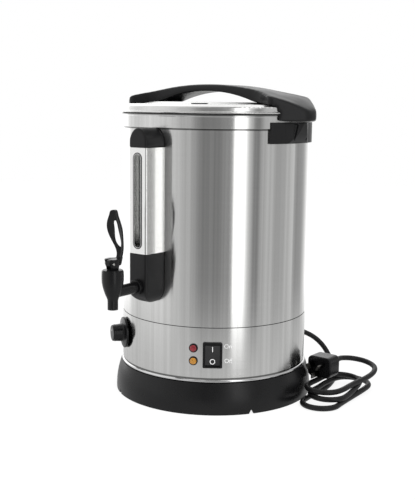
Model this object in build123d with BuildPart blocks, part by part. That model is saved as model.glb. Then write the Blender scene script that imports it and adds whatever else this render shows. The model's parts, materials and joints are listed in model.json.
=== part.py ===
from build123d import *
from math import asin, atan2, cos, degrees, pi, radians, sin, sqrt, tan
import os

# Hot water urn, in millimetres. +Z is up, the floor is z = 0 and the origin is the foot of the
# vessel's axis. The tap faces -Y. A bearing is an angle round that axis in degrees, 0 at the tap
# and positive towards +X. A distance is measured from that axis.

# ---------------------------------------------------------------- sheet steel and vessel
body_r = 113.0            # outside of the upper shell
sheet = 0.8               # thickness of the steel sheet
slip = 0.1                # clearance between nested sheet parts
seam = 0.7                # dark joint between lower band and shell
band_proud = 0.5          # the lower band stands out past the shell
band_top_z = 100.0
mouth_z = 336.6           # top edge of the shell
tank_gap = 8.0            # air between shell and inner tank
tank_floor_z = 110.0
tank_floor_round = 8.0

# ---------------------------------------------------------------- base
skirt_h = 36.0
skirt_foot_flare = 8.6    # how far the skirt stands out past the shell
skirt_mid_flare = 7.4
skirt_top_flare = 2.6
skirt_wall = 2.6
shelf_w = 16.0            # ledge that carries the steel
notch_w = 7.0             # drain notches in the skirt's foot
notch_h = 4.5
notch_bearing = 58.5
plate_z = 9.0             # underside of the bottom plate
plate_t = 1.0
plate_edge_gap = 1.4
foot_r = 9.0              # rubber feet
foot_pitch_r = 84.0
boss_r = 4.5              # screw bosses under the ledge
boss_inset = 9.0
screw_r = 2.0
screw_head_r = 3.9
screw_head_t = 2.2
trim_h = 3.6              # rolled bright ring
trim_bulge = 1.45

# ---------------------------------------------------------------- mouth and lid
flange_t = 0.8
collar_gap = 1.4          # collar round the mouth, clear of the shell
collar_drop = 12.5
collar_rise = 3.0
collar_lip = 2.2
lip_proud = 0.3
seal_t = 1.2
seal_edge = 0.4           # the seal stands out past the shell
lid_overhang = 2.6        # lid rim past the shell
lid_bead = 1.6
lid_t = 1.0
lid_side_h = 7.0          # straight side of the lid
lid_shoulder = 2.8        # rounding between side and top
lid_rise = 10.2           # flat of the lid over its foot
lid_shelf_w = 25.0        # flat ring inside the rim
lid_step_w = 12.0
lid_step_h = 2.2
dish_r = 44.0             # dished middle of the lid, room for the fingers
dish_slope_w = 13.0
dish_depth = 5.8
liner_gap = 1.6
liner_drop = 4.0          # liner floor under the shell's top edge
vent_len = 19.0
vent_w = 5.0
vent_bearing = 26.0
vent_inset = 13.0

# ---------------------------------------------------------------- lid handle
arch_rise = 23.2          # top of the arch over the lid's flat
arch_thick = 8.2          # arch thickness at the middle
arch_fall = 12.2          # drop of the arch from its middle to its shoulders
shoulder_inset = 6.0      # shoulder inside the wing corner
arch_under_r = 200.0
arch_half_w = 24.0
wing_half_w = 43.0
wing_inset = 9.0          # wing corner inside the shell's radius
nose_reach = 24.0         # end of the handle past the shell
nose_r = 20.0
block_drop = 4.3          # underside of the end blocks below the shell's top edge
shoulder_r = 110.0        # top of the arch from shoulder to nose
nose_round_share = 1.05   # rounding at the top of the nose, of the nose's height
block_round_share = 0.33  # rounding at its foot
handle_edge = 2.2
handle_gap = 0.5          # air between end block and collar
lid_screw_inset = 20.0
lid_screw_half_y = 14.0

# ---------------------------------------------------------------- side lugs
lug_gap = 0.8             # air under the handle's end block
lug_h = 24.0
lug_half_w = 43.0
lug_plate_t = 4.4
lug_reach = 13.6
lug_nose_r = 14.0
lug_pocket = 3.0          # depth of the moulded pockets
rivet_half_y = 30.0
rivet_head_r = 3.4

# ---------------------------------------------------------------- gauge column
column_reach = 30.4       # front of the column past the shell
column_half_front = 12.9
column_half_bend = 13.2
column_half_back = 13.3
column_bend = 14.4        # bend line behind the front
column_crest = 27.0       # highest line of the cap behind the front
column_foot_z = 126.0
column_base_h = 58.8
column_cap_h = 21.6
column_top_drop = 12.4    # top of the cap below the shell's top edge
slot_w = 10.5
slot_margin = 6.6
tube_r = 4.0              # sight glass
tube_bore_r = 2.8
tube_inset = 8.0          # glass axis behind the column's front
tube_seal_h = 5.0
tube_seal_r = 5.9
tube_lower = 8.0          # how far the glass goes past its seals
tube_upper = 3.0
outlet_r = 8.0
outlet_bore_r = 5.0
outlet_grip = 12.0        # spigot inside the column housing
nut_af = 24.0
nut_t = 6.0
gasket_r = 13.0
fit_gap = 0.05

# ---------------------------------------------------------------- tap
tap_reach = 70.5          # tap axis past the shell
inlet_z = 147.0
inlet_r = 6.4
inlet_bore_r = 4.4
inlet_grip = 6.0
collar_nut_r = 8.6
collar_nut_t = 5.0
tap_r = 12.2
tap_rise = 24.0           # top of the body over the inlet
tap_drop = 18.9           # spout end below the inlet
spout_r = 5.8
spout_bore_r = 4.0
spout_len = 9.0
chamber_r = 8.5
seat_drop = 7.5           # conical valve seat below the inlet
cup_r = 5.0
cup_h = 3.2
cup_gap = 0.8
stem_r = 2.0
running = 0.06            # clearance of a shaft in its bore
stem_collar_r = 5.2
stem_collar_t = 1.8
spring_wire_r = 0.7
spring_r = 4.3
spring_turns = 5.5
bonnet_h = 13.4
bonnet_foot_r = 6.4
bonnet_top_r = 9.0
bonnet_floor = 2.5
pin_r = 1.5
pin_forward = 4.2         # lever pin in front of the stem
pin_rise = 8.4            # lever pin over the tap body
heel_r = 4.0
heel_half_w = 3.1
slot_side_gap = 0.4
lever_t = 2.8
petal_half_w = 10.3
petal_hole_half_w = 5.0
petal_cant = 22.0         # the two strands lean forward at their outer edges

# ---------------------------------------------------------------- controls
knob_bearing = -33.5
knob_z = 75.2
knob_skirt_r = 18.7
knob_skirt_t = 2.4
knob_grip_r = 9.7
knob_len = 16.5
knob_gap = 1.0            # knob skirt in front of the band
shaft_r = 3.0
bush_r = 5.0
bush_nut_af = 14.0
bush_nut_t = 2.4
stat_w = 35.0
stat_h = 25.0
stat_depth = 20.0
switch_bearing = 36.5
switch_z = 68.7
bezel_w = 22.5
bezel_h = 30.0
bezel_t = 1.9
window_w = 17.4
switch_body_w = 19.8
switch_body_h = 26.6
switch_depth = 18.0
rocker_gap = 0.3
rocker_round_r = 12.25    # rocker ends about their pivot
rocker_tilt = 7.0
rocker_pivot_depth = 3.6  # pivot behind the bezel's front
lamp_bearing = 25.4
lamp_z_red = 76.4
lamp_z_amber = 61.4
lamp_bezel_r = 5.2
lamp_bezel_t = 1.3
lamp_body_r = 4.6
lens_r = 3.9
lens_seat = 2.0
lamp_depth = 16.0

# ---------------------------------------------------------------- heater and wiring
heat_plate_inset = 29.2   # edge of the heat plate inside the tank wall
heat_plate_t = 5.0
element_inset = 44.2
element_rod_r = 3.5
lead_len = 20.0
lead_bearing = 8.0
cutout_r = 12.0
cutout_h = 8.0
stand_inset = 12.2
divider_hole_inset = 16.2
divider_drop = 4.0
divider_rim = 10.0
bulb_r = 3.0
bulb_len = 50.0
bulb_inset = 23.2
capillary_r = 0.9
wire_r = 1.2
block_w = 30.0
block_d = 16.0
block_h = 14.0
block_y = 40.0
stud_r = 2.0
stud_h = 12.0

# ---------------------------------------------------------------- mains cord
cord_d = 6.6
gland_bearing = 165.0
gland_z = 50.0
gland_reach = 12.5        # end of the gland in front of the band
gland_hole_r = 7.0
gland_back = 10.0
gland_lead = 15.5         # the cord runs straight on from the gland
hank_h = 20.0
plug_x = 124.0
plug_tail_y = 94.0
plug_w = 32.0
plug_h = 26.0
plug_len = 25.0
plug_grip_len = 18.0
plug_pin_len = 17.0

# Route of the cord from the gland to the hank.
cord_points = [
    (43.5, 149.5, 45.0),
    (54.0, 158.0, 38.0),
    (66.0, 161.5, 27.5),
    (78.0, 158.0, 15.5),
    (89.5, 146.5, 5.5),
    (100.5, 133.0, 3.8),
    (108.0, 120.5, 3.6),
    (114.0, 107.5, 3.6),
]

# ---------------------------------------------------------------- sizes that follow
band_r = body_r + band_proud
tank_r = body_r - tank_gap
tank_in = tank_r - sheet
heat_plate_r = tank_in - heat_plate_inset
element_r = tank_in - element_inset
stand_r = tank_in - stand_inset
divider_hole_r = tank_in - divider_hole_inset
bulb_dist = tank_in - bulb_inset
skirt_foot_r = body_r + skirt_foot_flare
skirt_mid_r = body_r + skirt_mid_flare
skirt_top_r = body_r + skirt_top_flare
shelf_inner_r = skirt_top_r - shelf_w
boss_pitch_r = skirt_top_r - boss_inset
boss_h = skirt_h - skirt_wall - plate_z - plate_t
collar_in = body_r + collar_gap
collar_r = collar_in + sheet
collar_foot_z = mouth_z - collar_drop
collar_top_z = mouth_z + collar_rise
seal_r = body_r + seal_edge
lid_foot_z = collar_top_z + seal_t
lid_r = body_r + lid_overhang
lid_flat_z = lid_foot_z + lid_rise
lid_flat_in_r = body_r - lid_shelf_w
lid_crown_r = lid_flat_in_r - lid_step_w
lid_crown_z = lid_flat_z + lid_step_h
arch_top_z = lid_flat_z + arch_rise
arch_under_z = arch_top_z - arch_thick
wing_x = body_r - wing_inset
nose_x = body_r + nose_reach
block_z = mouth_z - block_drop
lug_top_z = block_z - lug_gap
lug_foot_z = lug_top_z - lug_h
column_y = -(body_r + column_reach)
column_top_z = mouth_z - column_top_drop
cover_z0 = column_foot_z + column_base_h
cover_z1 = column_top_z - column_cap_h
tube_y = column_y + tube_inset
tap_y = -(body_r + tap_reach)
tap_top_z = inlet_z + tap_rise
seat_z = inlet_z - seat_drop
pin_y = tap_y - pin_forward
pin_z = tap_top_z + pin_rise
cord_r = cord_d / 2

os.makedirs("parts", exist_ok=True)
parts_made = []


# ---------------------------------------------------------------- helpers
def save(builder, label):
    """Label a finished piece and write its STEP file."""
    builder.part.label = label
    export_step(builder.part, f"parts/{label}.step")
    parts_made.append(label)


def outward(bearing):
    """Unit vector away from the vessel's axis."""
    return Vector(sin(radians(bearing)), -cos(radians(bearing)), 0)


def spot(bearing, distance, z, sideways=0):
    """Point at a bearing and distance, shifted sideways (to the right as seen from outside)."""
    n = outward(bearing)
    return Vector(n.X * distance - n.Y * sideways, n.Y * distance + n.X * sideways, z)


def wall_plane(bearing, distance, z):
    """Plane that faces outwards: x to the right as seen from outside, y up."""
    n = outward(bearing)
    return Plane(origin=spot(bearing, distance, z), x_dir=(-n.Y, n.X, 0), z_dir=n)


def side_plane(bearing, z):
    """Upright plane through the vessel's axis: x is the distance outwards, y is up."""
    n = outward(bearing)
    return Plane(origin=(0, 0, z), x_dir=n, z_dir=(n.Y, -n.X, 0))


def outline(*corners):
    """Closed outline; a corner is (x, y) or (x, y, rounding)."""
    FilletPolyline(
        [(c[0], c[1]) for c in corners],
        radius=[c[2] if len(c) > 2 else 0 for c in corners],
        close=True,
    )


def lathe(*corners, plane=Plane.XZ, axis=Axis.Z, mode=Mode.ADD):
    """Turn an outline of (radius, z) corners about an axis."""
    with BuildSketch(plane) as profile:
        with BuildLine():
            outline(*corners)
        make_face()
    revolve(profile.sketch, axis=axis, mode=mode)


def wall_lathe(bearing, z, *corners, mode=Mode.ADD):
    """Turn an outline of (distance, radius) corners about a level axis that points outwards."""
    lathe(*corners, plane=side_plane(bearing, z), axis=Axis((0, 0, z), outward(bearing)), mode=mode)


def wall_pin(bearing, z, start, end, radius, mode=Mode.ADD):
    """Round bar along a bearing, between two distances."""
    wall_lathe(bearing, z, (start, 0), (end, 0), (end, radius), (start, radius), mode=mode)


def post(x, y, z, radius, height, mode=Mode.ADD):
    """Upright round bar."""
    with BuildSketch(Plane.XY.offset(z)) as section:
        with Locations((x, y)):
            Circle(radius)
    extrude(section.sketch, amount=height, mode=mode)


def drum(radius, z0, z1, mode=Mode.SUBTRACT):
    """Solid round drum about the vessel's axis, to cut pieces to the curve they stand against."""
    post(0, 0, z0, radius, z1 - z0, mode=mode)


def tube_along(points, radii, radius):
    """Round bar along straight runs joined by tangent arcs."""
    with BuildLine() as route:
        FilletPolyline(*points, radius=radii)
    with BuildSketch(Plane(origin=route.line @ 0, z_dir=route.line % 0)) as section:
        Circle(radius)
    sweep(section.sketch, path=route.line)


# ---------------------------------------------------------------- base
with BuildPart() as base_skirt:
    with BuildSketch(Plane.XZ):
        with BuildLine():
            ThreePointArc((skirt_foot_r, 0), (skirt_mid_r, skirt_h / 2), (skirt_top_r, skirt_h))
            Polyline(
                (skirt_top_r, skirt_h),
                (shelf_inner_r, skirt_h),
                (shelf_inner_r, skirt_h - skirt_wall),
                (skirt_top_r - skirt_wall, skirt_h - skirt_wall),
            )
            ThreePointArc(
                (skirt_top_r - skirt_wall, skirt_h - skirt_wall),
                (skirt_mid_r - skirt_wall, skirt_h / 2),
                (skirt_foot_r - skirt_wall, 0),
            )
            Line((skirt_foot_r - skirt_wall, 0), (skirt_foot_r, 0))
        make_face()
    revolve(axis=Axis.Z)
    with BuildSketch(Plane.XY.offset(plate_z + plate_t)):
        with PolarLocations(boss_pitch_r, 4, 45):
            Circle(boss_r)
            Circle(screw_r, mode=Mode.SUBTRACT)
    extrude(amount=boss_h)
    for k in range(4):
        with BuildSketch(wall_plane(notch_bearing + 90 * k, skirt_foot_r - 3 * skirt_wall, 0)):
            with BuildLine():
                outline((-notch_w / 2, -1), (notch_w / 2, -1), (0.5, notch_h), (-0.5, notch_h))
            make_face()
        extrude(amount=5 * skirt_wall, mode=Mode.SUBTRACT)
save(base_skirt, "base_skirt")

with BuildPart() as base_plate:
    with BuildSketch(Plane.XY.offset(plate_z)):
        Circle(skirt_mid_r - skirt_wall - plate_edge_gap)
        with PolarLocations(boss_pitch_r, 4, 45):
            Circle(screw_r + slip, mode=Mode.SUBTRACT)
        for ring_r, count in ((32, 8), (48, 12), (64, 16)):
            with PolarLocations(ring_r, count):
                SlotOverall(11, 3, mode=Mode.SUBTRACT)
    extrude(amount=plate_t)
save(base_plate, "base_plate")

with BuildPart() as base_screws:
    for k in range(4):
        head = spot(45 + 90 * k, boss_pitch_r, plate_z)
        post(head.X, head.Y, plate_z - screw_head_t, screw_head_r, screw_head_t)
        post(head.X, head.Y, plate_z, screw_r, boss_h / 2)
save(base_screws, "base_screws")

with BuildPart() as rubber_feet:
    with BuildSketch():
        with PolarLocations(foot_pitch_r, 4):
            Circle(foot_r)
    extrude(amount=plate_z)
    chamfer(rubber_feet.edges().group_by(Axis.Z)[0], 1.0)
save(rubber_feet, "rubber_feet")

# ---------------------------------------------------------------- lower housing
with BuildPart() as trim_ring:
    with BuildSketch(Plane.XZ):
        with BuildLine():
            trim_in = band_r + fit_gap
            trim_top = skirt_h + trim_h
            ThreePointArc((trim_in, skirt_h), (trim_in + trim_bulge, skirt_h + trim_h / 2), (trim_in, trim_top))
            Line((trim_in, trim_top), (trim_in, skirt_h))
        make_face()
    revolve(axis=Axis.Z)
save(trim_ring, "trim_ring")

with BuildPart() as housing_band:
    lathe((band_r - sheet, skirt_h), (band_r, skirt_h), (band_r, band_top_z), (band_r - sheet, band_top_z))
    wall_pin(knob_bearing, knob_z, body_r - 20, body_r + 20, bush_r + slip, mode=Mode.SUBTRACT)
    with BuildSketch(wall_plane(switch_bearing, body_r - 20, switch_z)):
        Rectangle(switch_body_w + 2 * slip, switch_body_h + 2 * slip)
    extrude(amount=40, mode=Mode.SUBTRACT)
    for z in (lamp_z_red, lamp_z_amber):
        wall_pin(lamp_bearing, z, body_r - 20, body_r + 20, lamp_body_r + slip, mode=Mode.SUBTRACT)
    wall_pin(gland_bearing, gland_z, body_r - 20, body_r + 20, gland_hole_r, mode=Mode.SUBTRACT)
save(housing_band, "housing_band")

# The divider closes the housing: its rim stands inside the shell, its lip parts shell and band.
divider_r = body_r - sheet - slip
divider_z = band_top_z - divider_drop
with BuildPart() as divider_tray:
    lathe(
        (divider_hole_r, divider_z),
        (divider_r, divider_z, 2),
        (divider_r, band_top_z),
        (body_r - slip, band_top_z),
        (body_r - slip, band_top_z + seam),
        (divider_r, band_top_z + seam),
        (divider_r, band_top_z + divider_rim),
        (divider_r - sheet, band_top_z + divider_rim),
        (divider_r - sheet, divider_z + sheet, 1.2),
        (divider_hole_r, divider_z + sheet),
    )
save(divider_tray, "divider_tray")

# ---------------------------------------------------------------- vessel
outlet_hole_r = outlet_r + slip
column_screw_z = (cover_z0 - tube_seal_h - 8, column_top_z - column_cap_h / 2)
rivet_z = (lug_top_z + lug_foot_z) / 2
rivet_turn = degrees(asin(rivet_half_y / body_r))
rivet_bearings = (90 - rivet_turn, 90 + rivet_turn, -90 - rivet_turn, -90 + rivet_turn)
with BuildPart() as outer_shell:
    lathe(
        (body_r - sheet, band_top_z + seam),
        (body_r, band_top_z + seam),
        (body_r, mouth_z),
        (body_r - sheet, mouth_z),
    )
    wall_pin(0, inlet_z, body_r - 20, body_r + 20, outlet_hole_r, mode=Mode.SUBTRACT)
    for z in column_screw_z:
        wall_pin(0, z, body_r - 20, body_r + 20, screw_r + slip, mode=Mode.SUBTRACT)
    for bearing in rivet_bearings:
        wall_pin(bearing, rivet_z, body_r - 20, body_r + 20, screw_r + slip, mode=Mode.SUBTRACT)
save(outer_shell, "outer_shell")

with BuildPart() as inner_tank:
    lathe(
        (0, tank_floor_z),
        (tank_r, tank_floor_z, tank_floor_round),
        (tank_r, mouth_z),
        (body_r, mouth_z),
        (body_r, mouth_z + flange_t),
        (tank_in, mouth_z + flange_t),
        (tank_in, tank_floor_z + sheet, tank_floor_round - sheet),
        (0, tank_floor_z + sheet),
    )
    wall_pin(0, inlet_z, tank_r - 20, tank_r + 20, outlet_hole_r, mode=Mode.SUBTRACT)
save(inner_tank, "inner_tank")

with BuildPart() as tank_stand_ring:
    stand_z = divider_z + sheet
    lathe(
        (stand_r - sheet, stand_z),
        (stand_r, stand_z),
        (stand_r, tank_floor_z),
        (stand_r - sheet, tank_floor_z),
    )
save(tank_stand_ring, "tank_stand_ring")

with BuildPart() as top_collar:
    hem_r = tank_in + slip
    lathe(
        (collar_in, collar_foot_z),
        (collar_r, collar_foot_z, 0.3),
        (collar_r, collar_top_z - collar_lip - 0.5),
        (collar_r + lip_proud, collar_top_z - collar_lip),
        (collar_r + lip_proud, collar_top_z, 0.6),
        (hem_r, collar_top_z),
        (hem_r, mouth_z + flange_t),
        (hem_r + sheet, mouth_z + flange_t),
        (hem_r + sheet, collar_top_z - sheet),
        (collar_in, collar_top_z - sheet),
    )
save(top_collar, "top_collar")

# ---------------------------------------------------------------- lid
seal_in = tank_in + sheet
with BuildPart() as lid_seal:
    lathe(
        (seal_in, collar_top_z),
        (seal_r, collar_top_z),
        (seal_r - 0.4, collar_top_z + seal_t / 2),
        (seal_r, lid_foot_z),
        (seal_in, lid_foot_z),
    )
save(lid_seal, "lid_seal")

hem_z = lid_foot_z + sheet
dish_z = lid_crown_z - dish_depth
bead_top_z = lid_foot_z + 1.3 * lid_bead
brow_r = lid_r - 2 * lid_shoulder
brow_z = lid_flat_z - 0.6
vent_spot = spot(vent_bearing, body_r - vent_inset, lid_flat_z)
screw_x = body_r - lid_screw_inset
with BuildPart() as lid_cover:
    lathe(
        (0, dish_z),
        (dish_r, dish_z, 9),
        (dish_r + dish_slope_w, lid_crown_z, 9),
        (lid_crown_r, lid_crown_z, 8),
        (lid_flat_in_r, lid_flat_z, 8),
        (brow_r, brow_z, 3),
        (lid_r, lid_foot_z + lid_side_h, lid_shoulder / 2),
        (lid_r, bead_top_z, 0.4),
        (lid_r + lid_bead, bead_top_z, 0.7),
        (lid_r + lid_bead, lid_foot_z, 0.7),
        (lid_r - lid_t, lid_foot_z),
        (lid_r - lid_t, hem_z),
        (lid_r - lid_t - 3, hem_z),
        (lid_r - lid_t - 3, hem_z + sheet),
        (lid_r - lid_t, hem_z + sheet),
        (lid_r - lid_t, lid_foot_z + lid_side_h - lid_t, 1),
        (brow_r, brow_z - lid_t, 2),
        (lid_flat_in_r, lid_flat_z - lid_t, 8),
        (lid_crown_r, lid_crown_z - lid_t, 8),
        (dish_r + dish_slope_w + 0.3, lid_crown_z - lid_t, 8),
        (dish_r + 0.5, dish_z - lid_t, 8),
        (0, dish_z - lid_t),
    )
    with BuildSketch(Plane.XY.offset(lid_flat_z - 4)):
        with GridLocations(2 * screw_x, 2 * lid_screw_half_y, 2, 2):
            Circle(screw_r + slip)
        with Locations((vent_spot.X, vent_spot.Y)):
            SlotOverall(vent_len - 2, vent_w - 2, rotation=vent_bearing)
    extrude(amount=8, mode=Mode.SUBTRACT)
save(lid_cover, "lid_cover")

liner_r = tank_in - liner_gap
liner_z = mouth_z - liner_drop
with BuildPart() as lid_liner:
    lathe(
        (0, liner_z),
        (liner_r, liner_z, 2),
        (liner_r, lid_foot_z),
        (lid_r - lid_t - 2 * slip, lid_foot_z),
        (lid_r - lid_t - 2 * slip, hem_z),
        (liner_r - sheet, hem_z),
        (liner_r - sheet, liner_z + sheet, 1.2),
        (0, liner_z + sheet),
    )
save(lid_liner, "lid_liner")

with BuildPart() as steam_vent:
    with BuildSketch(Plane.XY.offset(lid_flat_z + fit_gap)):
        with Locations((vent_spot.X, vent_spot.Y)):
            SlotOverall(vent_len, vent_w, rotation=vent_bearing)
    extrude(amount=0.8)
    with BuildSketch(Plane.XY.offset(lid_flat_z - 2.5)):
        with Locations((vent_spot.X, vent_spot.Y)):
            SlotOverall(vent_len - 2.4, vent_w - 2.4, rotation=vent_bearing)
    extrude(amount=3)
    for k in range(-2, 3):
        hole = spot(vent_bearing, body_r - vent_inset, 0, 3.2 * k)
        post(hole.X, hole.Y, lid_flat_z - 3, 0.8, 5, mode=Mode.SUBTRACT)
save(steam_vent, "steam_vent")


def apex_x(corner_x, corner_y, nose_centre, radius):
    """Where the line from a corner, touching the nose circle, meets the X axis."""
    across = nose_centre - corner_x
    lean = atan2(corner_y, across) - asin(radius / sqrt(across**2 + corner_y**2))
    return corner_x + corner_y / tan(lean)


with BuildPart() as lid_handle:
    # side view: arch on top, end blocks, open span underneath
    with BuildSketch(Plane.XZ) as side_view:
        with BuildLine():
            knee = wing_x - shoulder_inset
            knee_z = arch_top_z - arch_fall
            arch_top_r = (knee**2 + arch_fall**2) / (2 * arch_fall)
            # the nose arc goes on from the arch without a crease
            centre_x = knee * (1 - shoulder_r / arch_top_r)
            centre_z = knee_z - shoulder_r * (arch_top_r - arch_fall) / arch_top_r
            half_x = (knee + nose_x) / 2
            half_z = centre_z + sqrt(shoulder_r**2 - (half_x - centre_x) ** 2)
            nose_z = centre_z + sqrt(shoulder_r**2 - (nose_x - centre_x) ** 2)
            foot = lid_crown_r - 6
            foot_z = arch_under_z - arch_under_r + sqrt(arch_under_r**2 - foot**2)
            ThreePointArc((-knee, knee_z), (0, arch_top_z), (knee, knee_z))
            ThreePointArc((-foot, foot_z), (0, arch_under_z), (foot, foot_z))
            for s in (1, -1):
                ThreePointArc((s * knee, knee_z), (s * half_x, half_z), (s * nose_x, nose_z))
                Polyline((s * nose_x, nose_z), (s * nose_x, block_z), (s * foot, block_z), (s * foot, foot_z))
        make_face()
        nose_h = nose_z - block_z
        tops = side_view.vertices().filter_by(lambda v: abs(v.X) > nose_x - 0.01 and v.Y > block_z + 1)
        fillet(tops, nose_round_share * nose_h)
        feet = side_view.vertices().filter_by(lambda v: abs(v.X) > nose_x - 0.01 and v.Y < block_z + 1)
        fillet(feet, block_round_share * nose_h)
    extrude(amount=wing_half_w + 5, both=True)
    # plan: parallel strap that widens into wings, then a rounded nose at each end
    with BuildSketch(Plane.XY.offset(block_z - 1)):
        with BuildLine():
            apex = apex_x(wing_x, wing_half_w, nose_x - nose_r, nose_r)
            flare_x = wing_x - 26
            outline(
                (flare_x, arch_half_w, 38),
                (wing_x, wing_half_w, 5),
                (apex, 0, nose_r),
                (wing_x, -wing_half_w, 5),
                (flare_x, -arch_half_w, 38),
                (-flare_x, -arch_half_w, 38),
                (-wing_x, -wing_half_w, 5),
                (-apex, 0, nose_r),
                (-wing_x, wing_half_w, 5),
                (-flare_x, arch_half_w, 38),
            )
        make_face()
    extrude(amount=100, mode=Mode.INTERSECT)
    # hollowed to the lid's shape, with air round the collar
    lathe(
        (0, block_z - 20),
        (collar_r + lip_proud + handle_gap, block_z - 20),
        (collar_r + lip_proud + handle_gap, lid_foot_z - 1),
        (lid_r + lid_bead + slip, lid_foot_z - 1),
        (lid_r + lid_bead + slip, bead_top_z + slip),
        (lid_r + slip, bead_top_z + slip),
        (lid_r + slip, lid_foot_z + lid_side_h),
        (brow_r, brow_z + slip, 3),
        (lid_flat_in_r, lid_flat_z + slip, 8),
        (lid_crown_r, lid_crown_z + slip, 8),
        (0, lid_crown_z + slip),
        mode=Mode.SUBTRACT,
    )
    with BuildSketch(Plane.XY.offset(lid_flat_z - 5)):
        with GridLocations(2 * screw_x, 2 * lid_screw_half_y, 2, 2):
            Circle(screw_r)
    extrude(amount=12, mode=Mode.SUBTRACT)
save(lid_handle, "lid_handle")

with BuildPart() as lid_screws:
    seat = lid_flat_z - lid_t - 0.3
    for x in (screw_x, -screw_x):
        for y in (lid_screw_half_y, -lid_screw_half_y):
            post(x, y, seat - screw_head_t, screw_head_r, screw_head_t)
            post(x, y, seat, screw_r, 7)
save(lid_screws, "lid_screws")


# ---------------------------------------------------------------- side lugs
def side_lug(side):
    """Carrying lug on the shell under one end of the lid handle; side is 1 or -1."""
    nose_end = body_r + lug_reach
    corner_x, corner_y = wing_x + 2, lug_half_w - 3
    apex = apex_x(corner_x, corner_y, nose_end - lug_nose_r, lug_nose_r)
    with BuildPart() as lug:
        with BuildSketch(Plane.XY.offset(lug_foot_z)):
            with BuildLine():
                outline((side * corner_x, corner_y), (side * apex, 0, lug_nose_r), (side * corner_x, -corner_y))
            make_face()
        extrude(amount=lug_h)
        with BuildSketch(Plane.XZ):
            with BuildLine():
                Polyline(
                    (side * (body_r + 3.5), lug_foot_z),
                    (side * (body_r - 20), lug_foot_z),
                    (side * (body_r - 20), lug_top_z),
                    (side * nose_end, lug_top_z),
                )
                ThreePointArc(
                    (side * nose_end, lug_top_z),
                    (side * (nose_end - 3), lug_top_z - lug_h * 0.48),
                    (side * (body_r + 3.5), lug_foot_z),
                )
            make_face()
        extrude(amount=lug_half_w, both=True, mode=Mode.INTERSECT)
        for t in (1, -1):
            # pockets in each flank: a shallow one beside the flange, a deep wedge by the nose
            along = Vector(side * (apex - corner_x), -t * corner_y, 0).normalized()
            flank = Plane(
                origin=(side * corner_x, t * corner_y, lug_foot_z),
                x_dir=along,
                z_dir=along.cross(Vector(0, 0, -side * t)),
            )
            up = -side * t
            with BuildSketch(flank.offset(-lug_pocket)):
                with BuildLine():
                    outline((3, up * 2), (9, up * 2), (13.5, up * (lug_h - 2)), (3, up * (lug_h - 2)))
                make_face()
                with BuildLine():
                    outline((29.5, up * 4), (31, up * 4), (35, up * (lug_h - 2)), (29, up * (lug_h - 2)))
                make_face()
            extrude(amount=20, mode=Mode.SUBTRACT)
        with BuildSketch(Plane.XY.offset(lug_foot_z)):
            Circle(body_r + lug_plate_t)
            Rectangle(4 * body_r, 2 * lug_half_w, mode=Mode.INTERSECT)
            with Locations((side * body_r, 0)):
                Rectangle(2 * body_r, 2 * lug_half_w, mode=Mode.INTERSECT)
        extrude(amount=lug_h)
        drum(body_r + slip, lug_foot_z - 1, lug_top_z + 1)
        drum(collar_r + lip_proud + slip, collar_foot_z - 0.5, lug_top_z + 1)
        for bearing in rivet_bearings:
            wall_pin(bearing, rivet_z, body_r - 5, body_r + 2, screw_r + slip, mode=Mode.SUBTRACT)
    return lug


lug_right = side_lug(1)
save(lug_right, "lug_right")
lug_left = side_lug(-1)
save(lug_left, "lug_left")

with BuildPart() as lug_rivets:
    for bearing in rivet_bearings:
        wall_pin(bearing, rivet_z, body_r - sheet - 2, body_r - sheet - fit_gap, rivet_head_r)
        wall_pin(bearing, rivet_z, body_r - sheet - 2, body_r + 2, screw_r)
save(lug_rivets, "lug_rivets")


# ---------------------------------------------------------------- gauge column
def column_section(inset=0):
    """Plan of the column: rounded front corners, sides that reach into the shell."""
    back = -(body_r - 6)
    outline(
        (column_half_front - inset, column_y + inset, 2.5 - inset),
        (column_half_bend - inset, column_y + column_bend, 8),
        (column_half_back - inset, back),
        (inset - column_half_back, back),
        (inset - column_half_bend, column_y + column_bend, 8),
        (inset - column_half_front, column_y + inset, 2.5 - inset),
    )


with BuildPart() as column_cover:
    with BuildSketch(Plane.XY.offset(cover_z0)):
        with BuildLine():
            column_section()
        make_face()
        with BuildLine():
            column_section(sheet)
        make_face(mode=Mode.SUBTRACT)
    extrude(amount=cover_z1 - cover_z0)
    with BuildSketch(Plane.XZ.offset(-column_y - 3)):
        with Locations((0, (cover_z0 + cover_z1) / 2)):
            SlotOverall(cover_z1 - cover_z0 - 2 * slot_margin, slot_w, rotation=90)
    extrude(amount=6, mode=Mode.SUBTRACT)
    drum(body_r + slip, cover_z0 - 1, cover_z1 + 1)
save(column_cover, "column_cover")


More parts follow.
